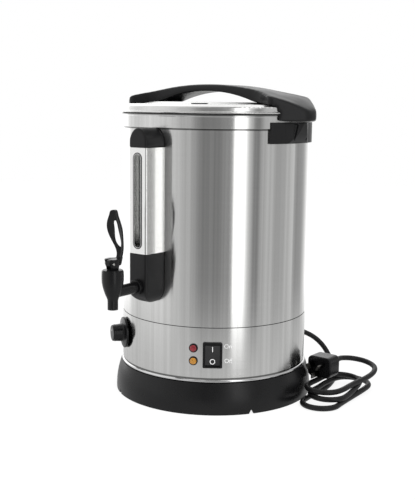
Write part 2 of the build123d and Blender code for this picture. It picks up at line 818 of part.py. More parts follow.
def column_end(cut_z, tip_z, brow_h):
    """Rounded end of the column, from its flat cut to its tip; the front rounds over brow_h."""
    up = 1 if tip_z > cut_z else -1
    straight_z = tip_z - up * column_cap_h
    with BuildPart() as end:
        with BuildSketch(Plane.XY.offset(cut_z)):
            with BuildLine():
                column_section()
            make_face()
        extrude(amount=tip_z - cut_z)
        # round front view
        with BuildSketch(Plane.XZ):
            half = column_half_back + 0.3
            with BuildLine():
                EllipticalCenterArc((0, straight_z), half, column_cap_h, 0, arc_size=up * 180)
                Polyline((-half, straight_z), (-half, cut_z - up), (half, cut_z - up), (half, straight_z))
            make_face()
        extrude(amount=2 * body_r, both=True, mode=Mode.INTERSECT)
        # round side view
        with BuildSketch(Plane.YZ):
            crest_y = column_y + column_crest
            brow = tip_z - up * brow_h
            front_y = column_y - 0.5
            with BuildLine():
                EllipticalCenterArc((crest_y, brow), crest_y - front_y, abs(tip_z - brow), 180, arc_size=-up * 90)
                Polyline(
                    (front_y, brow),
                    (front_y, cut_z - up),
                    (6 - body_r, cut_z - up),
                    (6 - body_r, tip_z - up * 3),
                    (crest_y, tip_z),
                )
            make_face()
        extrude(amount=2 * column_half_back, both=True, mode=Mode.INTERSECT)
        drum(body_r + slip, min(cut_z, tip_z) - 1, max(cut_z, tip_z) + 1)
    return end


cap_blank = column_end(cover_z1, column_top_z, column_cap_h * 0.95)
with BuildPart() as column_cap:
    add(cap_blank.part)
    post(0, tube_y, cover_z1, tube_seal_r + fit_gap, tube_seal_h, mode=Mode.SUBTRACT)
    post(0, tube_y, cover_z1 + tube_seal_h, tube_r + 2 * slip, tube_upper + 0.5, mode=Mode.SUBTRACT)
    wall_pin(0, column_screw_z[1], body_r, body_r + 12, screw_r, mode=Mode.SUBTRACT)
save(column_cap, "column_cap")

base_blank = column_end(cover_z0, column_foot_z, column_cap_h * 0.75)
base_back = body_r + outlet_grip
with BuildPart() as column_base:
    add(base_blank.part)
    post(0, tube_y, cover_z0 - tube_seal_h, tube_seal_r + fit_gap, tube_seal_h, mode=Mode.SUBTRACT)
    post(0, tube_y, cover_z0 - tube_seal_h - tube_lower, tube_r + 2 * slip, tube_lower, mode=Mode.SUBTRACT)
    post(0, tube_y, inlet_z, tube_bore_r, cover_z0 - tube_seal_h - inlet_z, mode=Mode.SUBTRACT)
    wall_pin(0, inlet_z, body_r - 5, base_back, outlet_r, mode=Mode.SUBTRACT)
    wall_pin(0, inlet_z, base_back - 1, -column_y + 5, outlet_bore_r, mode=Mode.SUBTRACT)
    wall_pin(0, inlet_z, -column_y - inlet_grip, -column_y + 5, inlet_r, mode=Mode.SUBTRACT)
    wall_pin(0, column_screw_z[0], body_r, body_r + 12, screw_r, mode=Mode.SUBTRACT)
save(column_base, "column_base")

tube_z0 = cover_z0 - tube_seal_h - tube_lower
tube_z1 = cover_z1 + tube_seal_h + tube_upper
with BuildPart() as gauge_tube:
    post(0, tube_y, tube_z0, tube_r, tube_z1 - tube_z0)
    post(0, tube_y, tube_z0, tube_bore_r, tube_z1 - tube_z0, mode=Mode.SUBTRACT)
save(gauge_tube, "gauge_tube")

for label, z in (("gauge_seal_bottom", cover_z0 - tube_seal_h), ("gauge_seal_top", cover_z1)):
    with BuildPart() as gauge_seal:
        post(0, tube_y, z, tube_seal_r, tube_seal_h)
        post(0, tube_y, z, tube_r + fit_gap, tube_seal_h, mode=Mode.SUBTRACT)
    save(gauge_seal, label)

gasket_back = sqrt(tank_in**2 - gasket_r**2) - 2.0
spigot_back = gasket_back - nut_t - 3
with BuildPart() as outlet_spigot:
    wall_pin(0, inlet_z, spigot_back, base_back, outlet_r)
    wall_pin(0, inlet_z, spigot_back, base_back, outlet_bore_r, mode=Mode.SUBTRACT)
save(outlet_spigot, "outlet_spigot")

with BuildPart() as tank_nut:
    with BuildSketch(wall_plane(0, gasket_back - nut_t, inlet_z)):
        RegularPolygon(nut_af / 2, 6, major_radius=False)
        Circle(outlet_r, mode=Mode.SUBTRACT)
    extrude(amount=nut_t)
save(tank_nut, "tank_nut")

with BuildPart() as tank_gasket:
    with BuildSketch(wall_plane(0, gasket_back, inlet_z)):
        Circle(gasket_r)
        Circle(outlet_r, mode=Mode.SUBTRACT)
    extrude(amount=tank_gap)
    drum(tank_in, inlet_z - 2 * gasket_r, inlet_z + 2 * gasket_r, mode=Mode.INTERSECT)
save(tank_gasket, "tank_gasket")

with BuildPart() as column_screws:
    for z in column_screw_z:
        wall_pin(0, z, body_r - sheet - screw_head_t, body_r - sheet - slip, screw_head_r)
        wall_pin(0, z, body_r - sheet - screw_head_t, body_r + 11, screw_r)
save(column_screws, "column_screws")

# ---------------------------------------------------------------- tap
tap_plane = Plane(origin=(0, tap_y, 0), x_dir=(1, 0, 0), z_dir=(0, -1, 0))
tap_axis = Axis((0, tap_y, 0), (0, 0, 1))
chamber_z = inlet_z + 5.0
spout_z = inlet_z - tap_drop
neck_z = spout_z + spout_len
with BuildPart() as tap_body:
    with BuildSketch(tap_plane):
        with BuildLine():
            Spline(
                (tap_r - 0.2, tap_top_z),
                (tap_r, tap_top_z - 7),
                (tap_r - 0.4, tap_top_z - 13.5),
                (tap_r - 2.3, tap_top_z - 21.5),
                (spout_r + 1.5, tap_top_z - 28.5),
                (spout_r, neck_z),
                tangents=((0.05, -1), (0, -1)),
            )
            Polyline(
                (spout_r, neck_z),
                (spout_r, spout_z),
                (0, spout_z),
                (0, tap_top_z),
                (tap_r - 0.2, tap_top_z),
            )
        make_face()
    revolve(axis=tap_axis)
    wall_pin(0, inlet_z, -column_y - inlet_grip, -tap_y, inlet_r)
    lathe(
        (0, spout_z - 1),
        (spout_bore_r, spout_z - 1),
        (spout_bore_r, seat_z),
        (cup_r + 0.4, seat_z + cup_h),
        (chamber_r - 0.7, chamber_z - 2.5),
        (chamber_r, chamber_z),
        (chamber_r, tap_top_z + 1),
        (0, tap_top_z + 1),
        plane=tap_plane,
        axis=tap_axis,
        mode=Mode.SUBTRACT,
    )
    wall_pin(0, inlet_z, -column_y - inlet_grip - 1, -tap_y, inlet_bore_r, mode=Mode.SUBTRACT)
save(tap_body, "tap_body")

with BuildPart() as tap_collar:
    wall_lathe(
        0,
        inlet_z,
        (-column_y, inlet_r),
        (-column_y, collar_nut_r, 0.6),
        (-column_y + collar_nut_t, collar_nut_r, 0.6),
        (-column_y + collar_nut_t, inlet_r),
    )
save(tap_collar, "tap_collar")

cup_foot_z = seat_z + cup_gap
cup_top_z = cup_foot_z + cup_h
with BuildPart() as seat_cup:
    lathe(
        (0, cup_foot_z),
        (spout_bore_r - 0.1, cup_foot_z),
        (cup_r - 0.4, cup_top_z),
        (0, cup_top_z),
        plane=tap_plane,
        axis=tap_axis,
    )
save(seat_cup, "seat_cup")

stem_top_z = pin_z - heel_r + slip
stem_collar_z = chamber_z + 1.5
with BuildPart() as tap_stem:
    lathe(
        (0, cup_top_z),
        (stem_r + 0.6, cup_top_z),
        (stem_r, cup_top_z + 2),
        (stem_r, stem_collar_z),
        (stem_collar_r, stem_collar_z),
        (stem_collar_r, stem_collar_z + stem_collar_t),
        (stem_r, stem_collar_z + stem_collar_t),
        (stem_r, stem_top_z - 1.5),
        (stem_r - 1.2, stem_top_z),
        (0, stem_top_z),
        plane=tap_plane,
        axis=tap_axis,
    )
save(tap_stem, "tap_stem")

spring_foot_z = stem_collar_z + stem_collar_t + spring_wire_r + fit_gap
spring_h = tap_top_z - spring_wire_r - fit_gap - spring_foot_z
with BuildPart() as tap_spring:
    with BuildLine() as coil:
        Helix(spring_h / spring_turns, spring_h, spring_r, center=(0, tap_y, spring_foot_z))
    with BuildSketch(Plane(origin=coil.line @ 0, z_dir=coil.line % 0)):
        Circle(spring_wire_r)
    sweep(path=coil.line, is_frenet=True)
save(tap_spring, "tap_spring")

bonnet_top_z = tap_top_z + bonnet_h
spring_room_r = spring_r + spring_wire_r + 0.6
with BuildPart() as tap_bonnet:
    lathe(
        (spring_room_r, tap_top_z - 3),
        (chamber_r - slip, tap_top_z - 3),
        (chamber_r - slip, tap_top_z),
        (tap_r - 1.0, tap_top_z),
        (tap_r - 1.4, tap_top_z + 1.2),
        (bonnet_foot_r, tap_top_z + 1.6),
        (bonnet_top_r - 0.3, bonnet_top_z - 2),
        (bonnet_top_r, bonnet_top_z, 0.5),
        (0, bonnet_top_z),
        (0, tap_top_z),
        (spring_room_r, tap_top_z),
        plane=tap_plane,
        axis=tap_axis,
    )
    post(0, tap_y, tap_top_z - 1, stem_r + running, 10, mode=Mode.SUBTRACT)
    with BuildSketch(Plane.XY.offset(tap_top_z + bonnet_floor)):
        with Locations((0, tap_y)):
            Rectangle(2 * (heel_half_w + slot_side_gap), 4 * tap_r)
    extrude(amount=bonnet_h, mode=Mode.SUBTRACT)
    with BuildSketch(Plane.YZ):
        with Locations((pin_y, pin_z)):
            Circle(pin_r)
    extrude(amount=tap_r, both=True, mode=Mode.SUBTRACT)
save(tap_bonnet, "tap_bonnet")

pin_half = sqrt((bonnet_top_r - 1.2) ** 2 - pin_forward**2)
with BuildPart() as lever_pin:
    with BuildSketch(Plane.YZ):
        with Locations((pin_y, pin_z)):
            Circle(pin_r)
    extrude(amount=pin_half, both=True)
save(lever_pin, "lever_pin")

# The lever is a bent strap with a long hole; each half leans forward towards its outer edge.
# Its middle line is given as (behind the pin, above the pin).
lever_line = [(11.7, 1.6), (16.6, 7.0), (17.5, 13.0), (16.3, 20.0), (14.2, 28.0), (11.8, 38.0), (9.3, 48.5), (8.3, 58)]
lever_h = lever_line[-1][1]
waist_half_w = 4.6
waist_h = 14.0
petal_h = 37.5
hole_foot_h = 15.5
hole_top_h = 46.5
hole_wide_h = 27.5
lean = (cos(radians(petal_cant)), -sin(radians(petal_cant)), 0)
with BuildPart() as tap_lever:
    with BuildSketch(Plane.YZ):
        with BuildLine():
            Spline(*[(pin_y + y, pin_z + z) for y, z in lever_line])
        trace(line_width=lever_t)
    extrude(amount=(petal_half_w + 2) / lean[0], dir=lean)
    with BuildSketch(Plane.XZ):
        with BuildLine():
            Spline(
                (heel_half_w, pin_z - 6),
                (heel_half_w, pin_z + 5),
                (waist_half_w, pin_z + waist_h),
                (petal_half_w * 0.8, pin_z + petal_h - 12),
                (petal_half_w, pin_z + petal_h),
                (petal_half_w * 0.82, pin_z + lever_h - 12),
                (petal_half_w * 0.52, pin_z + lever_h - 4.5),
                (0, pin_z + lever_h),
                tangents=((0, 1), (-1, 0)),
            )
            Line((0, pin_z + lever_h), (0, pin_z + hole_top_h))
            Spline(
                (0, pin_z + hole_top_h),
                (petal_hole_half_w * 0.75, pin_z + hole_top_h - 7),
                (petal_hole_half_w, pin_z + hole_wide_h),
                (0, pin_z + hole_foot_h),
                tangents=((1, 0), (-1, -0.6)),
            )
            Polyline((0, pin_z + hole_foot_h), (0, pin_z - 6), (heel_half_w, pin_z - 6))
        make_face()
    extrude(amount=3 * body_r, mode=Mode.INTERSECT)
    mirror(about=Plane.YZ)
    with BuildSketch(Plane.YZ):
        with BuildLine():
            outline(
                (pin_y - heel_r, pin_z + heel_r, heel_r * 0.98),
                (pin_y - heel_r, pin_z - heel_r, heel_r * 0.98),
                (pin_y + 14.5, pin_z - 3.0, 2),
                (pin_y + 17.4, pin_z + 6.5, 1),
                (pin_y + 12.4, pin_z + 5.4, 2),
            )
        make_face()
        with Locations((pin_y, pin_z)):
            Circle(pin_r + running, mode=Mode.SUBTRACT)
    extrude(amount=heel_half_w, both=True)
save(tap_lever, "tap_lever")

# ---------------------------------------------------------------- thermostat
stat_front = sqrt((band_r - sheet) ** 2 - (stat_w / 2) ** 2) - 0.2
stat_back = stat_front - stat_depth
bush_end = band_r + bush_nut_t + 1.2
with BuildPart() as thermostat_body:
    with BuildSketch(wall_plane(knob_bearing, stat_back, knob_z)):
        RectangleRounded(stat_w, stat_h, 2)
    extrude(amount=stat_depth)
    wall_pin(knob_bearing, knob_z, stat_front - 1, bush_end, bush_r)
    wall_pin(knob_bearing, knob_z, stat_front - 6, bush_end, shaft_r + running, mode=Mode.SUBTRACT)
save(thermostat_body, "thermostat_body")

with BuildPart() as thermostat_nut:
    with BuildSketch(wall_plane(knob_bearing, band_r, knob_z)):
        RegularPolygon(bush_nut_af / 2, 6, major_radius=False)
        Circle(bush_r, mode=Mode.SUBTRACT)
    extrude(amount=bush_nut_t)
save(thermostat_nut, "thermostat_nut")

knob_back = band_r + knob_gap
knob_front = knob_back + knob_len
knob_recess_r = bush_nut_af / 2 + 2.2
shaft_end = knob_front - 3
with BuildPart() as thermostat_knob:
    wall_lathe(
        knob_bearing,
        knob_z,
        (knob_back, knob_recess_r),
        (knob_back, knob_skirt_r, 0.6),
        (knob_back + knob_skirt_t, knob_skirt_r, 0.8),
        (knob_back + knob_skirt_t + 1.6, knob_grip_r + 1.2, 2),
        (knob_front, knob_grip_r, 1.2),
        (knob_front, 0),
        (shaft_end, 0),
        (shaft_end, shaft_r),
        (bush_end + 1, shaft_r),
        (bush_end + 1, knob_recess_r),
    )
save(thermostat_knob, "thermostat_knob")

with BuildPart() as knob_shaft:
    wall_pin(knob_bearing, knob_z, stat_front - 5.8, shaft_end, shaft_r)
save(knob_shaft, "knob_shaft")

bulb_z = tank_floor_z - bulb_r
bulb_end = spot(knob_bearing, bulb_dist, bulb_z, -bulb_len / 2)
with BuildPart() as thermostat_bulb:
    with BuildSketch(Plane(origin=bulb_end, z_dir=spot(knob_bearing, 0, 0, 1))):
        Circle(bulb_r)
    extrude(amount=bulb_len)
    tube_along(
        [
            spot(knob_bearing, stat_back, knob_z + 6, -8),
            spot(knob_bearing, bulb_dist - 2, knob_z + 6, -8),
            spot(knob_bearing, bulb_dist - 4, divider_z - 4, -32),
            spot(knob_bearing, bulb_dist - 2, bulb_z - 1, -34),
            bulb_end,
        ],
        [4, 4, 2.5],
        capillary_r,
    )
save(thermostat_bulb, "thermostat_bulb")

# ---------------------------------------------------------------- switch
bezel_front = band_r + bezel_t
bezel_drop = band_r - sqrt(band_r**2 - (bezel_w / 2) ** 2)
switch_back = bezel_front - switch_depth
pivot_dist = bezel_front - rocker_pivot_depth
window_half_h = rocker_round_r + rocker_gap
with BuildPart() as switch_bezel:
    with BuildSketch(wall_plane(switch_bearing, bezel_front, switch_z)):
        RectangleRounded(bezel_w, bezel_h, 1.6)
    extrude(amount=-bezel_t - bezel_drop)
    front_face = switch_bezel.faces().sort_by(Axis((0, 0, 0), outward(switch_bearing)))[-1]
    chamfer(front_face.edges(), 0.5)
    drum(band_r + fit_gap, switch_z - bezel_h, switch_z + bezel_h)
    with BuildSketch(wall_plane(switch_bearing, switch_back, switch_z)):
        Rectangle(switch_body_w, switch_body_h)
    extrude(amount=switch_depth - 0.6)
    with BuildSketch(wall_plane(switch_bearing, switch_back + 3, switch_z)):
        Rectangle(window_w, 2 * window_half_h)
    extrude(amount=switch_depth, mode=Mode.SUBTRACT)
    with BuildSketch(side_plane(switch_bearing, switch_z)):
        with Locations((pivot_dist, 0)):
            Circle(pin_r + running)
    extrude(amount=window_w / 2 + 0.9, both=True, mode=Mode.SUBTRACT)
save(switch_bezel, "switch_bezel")


def rocked(u, v):
    """Point of the rocker, from its pivot, with its upper half pressed in."""
    turn = radians(rocker_tilt)
    return (pivot_dist + u * cos(turn) - v * sin(turn), u * sin(turn) + v * cos(turn))


with BuildPart() as switch_rocker:
    front_u, back_u = 5.0, -3.0
    front_v = sqrt(rocker_round_r**2 - front_u**2)
    back_v = sqrt(rocker_round_r**2 - back_u**2)
    with BuildSketch(side_plane(switch_bearing, switch_z)):
        with BuildLine():
            ThreePointArc(rocked(back_u, back_v), rocked(0, rocker_round_r), rocked(front_u, front_v))
            ThreePointArc(rocked(front_u, front_v), rocked(front_u - 1.2, 0), rocked(front_u, -front_v))
            ThreePointArc(rocked(front_u, -front_v), rocked(0, -rocker_round_r), rocked(back_u, -back_v))
            Line(rocked(back_u, -back_v), rocked(back_u, back_v))
        make_face()
    extrude(amount=window_w / 2 - rocker_gap, both=True)
    with BuildSketch(side_plane(switch_bearing, switch_z)):
        with Locations((pivot_dist, 0)):
            Circle(pin_r)
    extrude(amount=window_w / 2 + 0.8, both=True)
save(switch_rocker, "switch_rocker")

# ---------------------------------------------------------------- indicator lamps
lamp_front = band_r + lamp_bezel_t
lens_back = lamp_front - lens_seat
with BuildPart() as lamp_bodies:
    for z in (lamp_z_red, lamp_z_amber):
        wall_lathe(
            lamp_bearing,
            z,
            (lamp_front - lamp_depth, 0),
            (lamp_front - lamp_depth, lamp_body_r),
            (band_r + fit_gap, lamp_body_r),
            (band_r + fit_gap, lamp_bezel_r),
            (lamp_front, lamp_bezel_r, 0.5),
            (lamp_front, lens_r),
            (lens_back, lens_r),
            (lens_back, 0),
        )
save(lamp_bodies, "lamp_bodies")

for label, z in (("red_lamp_lens", lamp_z_red), ("amber_lamp_lens", lamp_z_amber)):
    with BuildPart() as lamp_lens:
        wall_lathe(
            lamp_bearing,
            z,
            (lens_back, 0),
            (lens_back, lens_r),
            (lamp_front + 1.6, lens_r, 1.3),
            (lamp_front + 2.0, 0),
        )
    save(lamp_lens, label)

# ---------------------------------------------------------------- heater
heat_z = tank_floor_z - heat_plate_t
rod_z = heat_z - element_rod_r
lead_z = rod_z - lead_len
with BuildPart() as heat_plate:
    post(0, 0, heat_z, heat_plate_r, heat_plate_t)
save(heat_plate, "heat_plate")

with BuildPart() as heating_element:
    with BuildSketch(Plane.XZ):
        with Locations((element_r, rod_z)):
            Circle(element_rod_r)
    revolve(axis=Axis.Z)
    for bearing in (-lead_bearing, lead_bearing):
        foot = spot(bearing, element_r, 0)
        post(foot.X, foot.Y, lead_z, element_rod_r - 0.4, lead_len)
save(heating_element, "heating_element")

with BuildPart() as boil_dry_cutout:
    post(0, 0, heat_z - cutout_h, cutout_r, cutout_h)
    for x in (-6, 6):
        post(x, 0, heat_z - cutout_h - 5, 1.5, 5)
save(boil_dry_cutout, "boil_dry_cutout")

# ---------------------------------------------------------------- wiring
plate_top = plate_z + plate_t
block_top = plate_top + block_h
with BuildPart() as terminal_block:
    with BuildSketch(Plane.XY.offset(plate_top)):
        with Locations((0, block_y)):
            Rectangle(block_w, block_d)
    extrude(amount=block_h)
    for x in (-10, 0, 10):
        post(x, block_y - 4, block_top - 5, 2.2, 5, mode=Mode.SUBTRACT)
save(terminal_block, "terminal_block")

stud_spot = spot(235, 52, 0)
with BuildPart() as earth_stud:
    post(stud_spot.X, stud_spot.Y, plate_top, stud_r, stud_h)
    with BuildSketch(Plane.XY.offset(plate_top)):
        with Locations((stud_spot.X, stud_spot.Y)):
            RegularPolygon(1.8 * stud_r, 6)
    extrude(amount=3)
save(earth_stud, "earth_stud")


def wire(start, start_dir, end, end_dir, radius=wire_r, reach=12):
    """Insulated wire that leaves its start and meets its end squarely."""
    leave = Vector(start) + Vector(start_dir) * reach
    arrive = Vector(end) + Vector(end_dir) * reach
    tube_along([Vector(start), leave, arrive, Vector(end)], [5, 5], radius)


with BuildPart() as wiring_harness:
    upward, downward = (0, 0, 1), (0, 0, -1)
    from_switch = outward(switch_bearing) * -1
    from_stat = outward(knob_bearing) * -1
    from_gland = outward(gland_bearing) * -1
    wire((10, block_y + 4, block_top), upward, spot(switch_bearing, switch_back, switch_z - 6), from_switch)
    wire(
        spot(switch_bearing, switch_back, switch_z + 6),
        from_switch,
        spot(knob_bearing, stat_back, knob_z - 6, 10),
        from_stat,
    )
    wire(
        spot(knob_bearing, stat_back, knob_z + 6, 10),
        from_stat,
        spot(-lead_bearing, element_r, lead_z),
        downward,
        reach=8,
    )
    wire((3, block_y + 4, block_top), upward, spot(lead_bearing, element_r, lead_z), downward)
    wire(spot(gland_bearing, band_r - gland_back, gland_z), from_gland, (-8, block_y + 4, block_top), upward)
save(wiring_harness, "wiring_harness")

# ---------------------------------------------------------------- cord, hank and plug
gland_end = band_r + gland_reach
with BuildPart() as cord_gland:
    wall_lathe(
        gland_bearing,
        gland_z,
        (band_r - gland_back, 0),
        (band_r - gland_back, gland_hole_r - 0.4),
        (band_r - gland_back + 4, gland_hole_r - 0.4),
        (band_r - gland_back + 4, gland_hole_r + 2),
        (band_r - sheet - 0.4, gland_hole_r + 2),
        (band_r - sheet - 0.4, gland_hole_r - 0.4),
        (band_r + slip, gland_hole_r - 0.4),
        (band_r + slip, gland_hole_r + 1.2),
        (band_r + 2, gland_hole_r + 1.2, 0.8),
        (band_r + 2.4, gland_hole_r - 1),
        (gland_end, cord_r + 1.2, 0.5),
        (gland_end, 0),
    )
save(cord_gland, "cord_gland")


def arc_radii(points):
    """Rounding at each inner point: 0.45 of the shorter run over the tangent of half the turn."""
    radii = []
    for before, here, after in zip(points, points[1:], points[2:]):
        run_in, run_out = here - before, after - here
        half_turn = radians(run_in.get_angle(run_out)) / 2
        radii.append(0.45 * min(run_in.length, run_out.length) / tan(half_turn))
    return radii


route = [spot(gland_bearing, gland_end + along, gland_z) for along in (0, gland_lead)]
route += [Vector(*p) for p in cord_points]
radii = arc_radii(route)
with BuildPart() as power_cord:
    tube_along(route, radii, cord_r)
save(power_cord, "power_cord")
with BuildLine() as cord_line:
    FilletPolyline(*route, radius=radii)
cord_len = sum(edge.length for edge in cord_line.edges())
full_volume = pi * cord_r**2 * cord_len
print("cord radii", [round(r, 1) for r in radii])
print("cord tube length", round(cord_len, 1))
print("cord volume against section times length", round(power_cord.part.volume / full_volume, 4))

# The hank: a bundle tied round its middle, a wide loop in front, loop ends that fan out.
flat_h = 1.4 * cord_d
hank_mats = (
    (hank_h, (((134, 16), 10.5), ((126, 68), 15), ((142, 86), 15))),
    (flat_h, (((134, 14), 9), ((151, 3), 11), ((149, 36), 9))),
    (flat_h, (((134, 14), 8), ((139, -14), 6))),
    (flat_h, (((146, 60), 11), ((157, 84), 8), ((150, 92), 8))),
)
tail = Vector(plug_x, plug_tail_y, hank_h + plug_h / 2)
with BuildPart() as cord_hank:
    for height, spots in hank_mats:
        with BuildSketch():
            with BuildLine():
                for centre, r in spots:
                    CenterArc(centre, r, 0, 360)
            make_hull()
        extrude(amount=height)
    top_edges = cord_hank.edges().filter_by(lambda e: e.center().Z > hank_h - 1)
    fillet(top_edges, 6)
    # the cord's way in, and the lead up to the plug
    with BuildSketch(Plane(origin=route[-1], z_dir=route[-1] - route[-2])) as entry:
        Circle(cord_r)
    extrude(entry.sketch, amount=27)
    lead = [(0, 0, 0), (0, 14, 0), (14, 22, -8), (28, 13, -17), (24, -4, -21)]
    tube_along([tail + Vector(*step) for step in lead], [12, 12, 12], cord_r)
save(cord_hank, "cord_hank")

plug_plane = Plane(origin=tail, x_dir=(1, 0, 0), z_dir=(0, -1, 0))
with BuildPart() as plug_body:
    with BuildSketch(plug_plane.offset(plug_grip_len)):
        RectangleRounded(plug_w, plug_h, 6)
    extrude(amount=plug_len)
    fillet(plug_body.faces().sort_by(Axis.Y)[-1].edges(), 4)
    fillet(plug_body.faces().sort_by(Axis.Y)[0].edges(), 1.5)
    grip = [(0, 0), (0, cord_r + 1.6)]
    for k in range(4):
        start = plug_grip_len * (k + 0.5) / 4.5
        ridge = cord_r + 1.9 + 0.7 * k
        grip += [(start, ridge), (start + 0.6, ridge - 1), (start + 1.8, ridge - 1), (start + 2.4, ridge + 0.4)]
    grip += [(plug_grip_len + 6, cord_r + 5), (plug_grip_len + 6, 0)]
    lathe(*grip, plane=Plane(origin=tail, x_dir=(0, -1, 0), z_dir=(-1, 0, 0)), axis=Axis(tail, (0, -1, 0)))
save(plug_body, "plug_body")

with BuildPart() as plug_pins:
    with BuildSketch(plug_plane.offset(plug_grip_len + plug_len)):
        for x, y, turn in ((-6.9, 3.6, 30), (6.9, 3.6, -30), (0, -7.2, 0)):
            with Locations((x, y)):
                Rectangle(1.7, 6.3, rotation=turn)
    extrude(amount=plug_pin_len)
save(plug_pins, "plug_pins")

print(len(parts_made), "nodes")
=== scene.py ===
# %% [markdown]
# # Dressing a hot water urn
# The urn is a brushed steel drum on a black base, with a lid and its arched handle on top, a
# sight glass and a tap in front, and a knob, a switch and two lamps on the lower band. Its solid
# parts come in ready made, as a fixed frame. This lesson gives them finishes and light, and
# makes the pieces that a solid model leaves out: the real run of the cord, the lettering, the
# ribs of the knob and the trim round the slot of the sight glass.
# Everything is in metres; sizes are written in millimetres and multiplied by `mm`.

# %% Load the frame
import json
from math import cos, pi, radians, sin

import bmesh
import bpy
from mathutils import Matrix, Vector


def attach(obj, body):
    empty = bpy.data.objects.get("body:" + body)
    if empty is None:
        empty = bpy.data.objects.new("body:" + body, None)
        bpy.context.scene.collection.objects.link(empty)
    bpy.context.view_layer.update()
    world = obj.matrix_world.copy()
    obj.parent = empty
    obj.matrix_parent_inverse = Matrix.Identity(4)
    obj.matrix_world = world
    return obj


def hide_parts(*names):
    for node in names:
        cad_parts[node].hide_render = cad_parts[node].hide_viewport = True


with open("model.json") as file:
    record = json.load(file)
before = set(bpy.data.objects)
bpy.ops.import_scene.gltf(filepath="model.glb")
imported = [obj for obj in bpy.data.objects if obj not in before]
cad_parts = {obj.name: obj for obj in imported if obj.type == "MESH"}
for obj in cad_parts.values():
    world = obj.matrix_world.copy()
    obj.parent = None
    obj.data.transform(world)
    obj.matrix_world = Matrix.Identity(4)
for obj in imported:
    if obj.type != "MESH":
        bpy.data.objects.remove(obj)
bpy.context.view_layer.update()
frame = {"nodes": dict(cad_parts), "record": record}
mm = 0.001

# %% [markdown]
# ## Camera
# The urn is best seen from a little above, turned so that the tap stands at the left. A camera
# can be aimed with a Track To constraint, but a small roll can't be set that way, so its three
# axes are worked out from the turn, the tilt and the roll, and written as a matrix.

# %% Place the camera
camera_at = Vector((667.2, -885.4, 350.8)) * mm
focal_length = 65.03
turn, tilt, roll = radians(37.47), radians(9.18), radians(0.70)
forward = Vector((-sin(turn) * cos(tilt), cos(turn) * cos(tilt), -sin(tilt)))
level = Vector((cos(turn), sin(turn), 0))
upward = level.cross(forward)
camera_right = cos(roll) * level + sin(roll) * upward
camera_up = cos(roll) * upward - sin(roll) * level
lens = bpy.data.cameras.new("camera")
lens.lens = focal_length
lens.clip_end = 50
camera = bpy.data.objects.new("camera", lens)
camera.matrix_world = Matrix((camera_right, camera_up, -forward)).transposed().to_4x4()
camera.location = camera_at
bpy.context.scene.collection.objects.link(camera)
bpy.context.scene.camera = camera
print("camera", [round(c, 3) for c in camera.location])

# %% [markdown]
# ## Small helpers
# A bearing is an angle round the drum's axis, 0 at the tap and positive towards +X. `spot` turns
# a bearing, a distance and a height into a point, and `facing` gives the matrix that lays a flat
# drawing against the drum there. The other helpers make a node, a finish and a finished object,
# so that each later cell can stay short.


# %% Points round the drum
def outward(bearing):
    """Unit vector away from the drum's axis."""
    return Vector((sin(radians(bearing)), -cos(radians(bearing)), 0))


def spot(bearing, distance, z):
    """Point at a bearing, distance and height, given in millimetres."""
    return (outward(bearing) * distance + Vector((0, 0, z))) * mm


def facing(bearing, distance, z):
    """Matrix whose x runs to the right as seen from outside, y up and z outwards."""
    n = outward(bearing)
    across = Vector((-n.y, n.x, 0))
    axes = Matrix((across, Vector((0, 0, 1)), n)).transposed().to_4x4()
    return Matrix.Translation(spot(bearing, distance, z)) @ axes


# %% Nodes and finishes
# A Mix node has a set of sockets for each kind of value, and these are the places of two sets.
COLOUR_A, COLOUR_B, COLOUR_OUT = 6, 7, 2
NUMBER_A, NUMBER_B, NUMBER_OUT = 2, 3, 0
NOISE_LOW, NOISE_HIGH = 0.3, 0.7  # most of a noise lies between these values


def add_node(tree, kind, settings=None, **inputs):
    """Add a node, set its options, and set or link its inputs by name."""
    node = tree.nodes.new(kind)
    for name, value in (settings or {}).items():
        setattr(node, name, value)
    for name, value in inputs.items():
        socket = node.inputs[name.replace("_", " ")]
        if isinstance(value, bpy.types.NodeSocket):
            tree.links.new(value, socket)
        else:
            socket.default_value = value
    return node


def grey(level):
    """A neutral colour."""
    return (level, level, level, 1)


def new_finish(name, **values):
    """A material with one Principled shader, whose plain values are set on its own sockets."""
    finish = bpy.data.materials.new(name)
    finish.use_nodes = True
    shader = finish.node_tree.nodes["Principled BSDF"]
    for socket, value in values.items():
        shader.inputs[socket.replace("_", " ")].default_value = value
    return finish, finish.node_tree, shader


def stretched(tree, scale, detail=3.0, roughness=0.5):
    """Noise on the object's own coordinates, drawn out along the axes that have a small scale."""
    place = add_node(tree, "ShaderNodeTexCoord")
    drawn = add_node(tree, "ShaderNodeMapping", Vector=place.outputs["Object"], Scale=scale)
    noise = add_node(
        tree,
        "ShaderNodeTexNoise",
        Vector=drawn.outputs["Vector"],
        Scale=1.0,
        Detail=detail,
        Roughness=roughness,
    )
    return noise.outputs["Fac"]


def shade_between(tree, shader, fac, dark, light, low=NOISE_LOW, high=NOISE_HIGH):
    """Colour the surface between two tones by a noise value."""
    ramp = add_node(tree, "ShaderNodeMapRange", Value=fac, From_Min=low, From_Max=high)
    mix = add_node(tree, "ShaderNodeMix", {"data_type": "RGBA"})
    tree.links.new(ramp.outputs["Result"], mix.inputs["Factor"])
    mix.inputs[COLOUR_A].default_value = dark
    mix.inputs[COLOUR_B].default_value = light
    tree.links.new(mix.outputs[COLOUR_OUT], shader.inputs["Base Color"])


def vary_roughness(tree, shader, fac, low, high):
    """Let the roughness wander between two values by a noise value."""
    spread = add_node(
        tree,
        "ShaderNodeMapRange",
        Value=fac,
        From_Min=NOISE_LOW,
        From_Max=NOISE_HIGH,
        To_Min=low,
        To_Max=high,
    )
    tree.links.new(spread.outputs["Result"], shader.inputs["Roughness"])


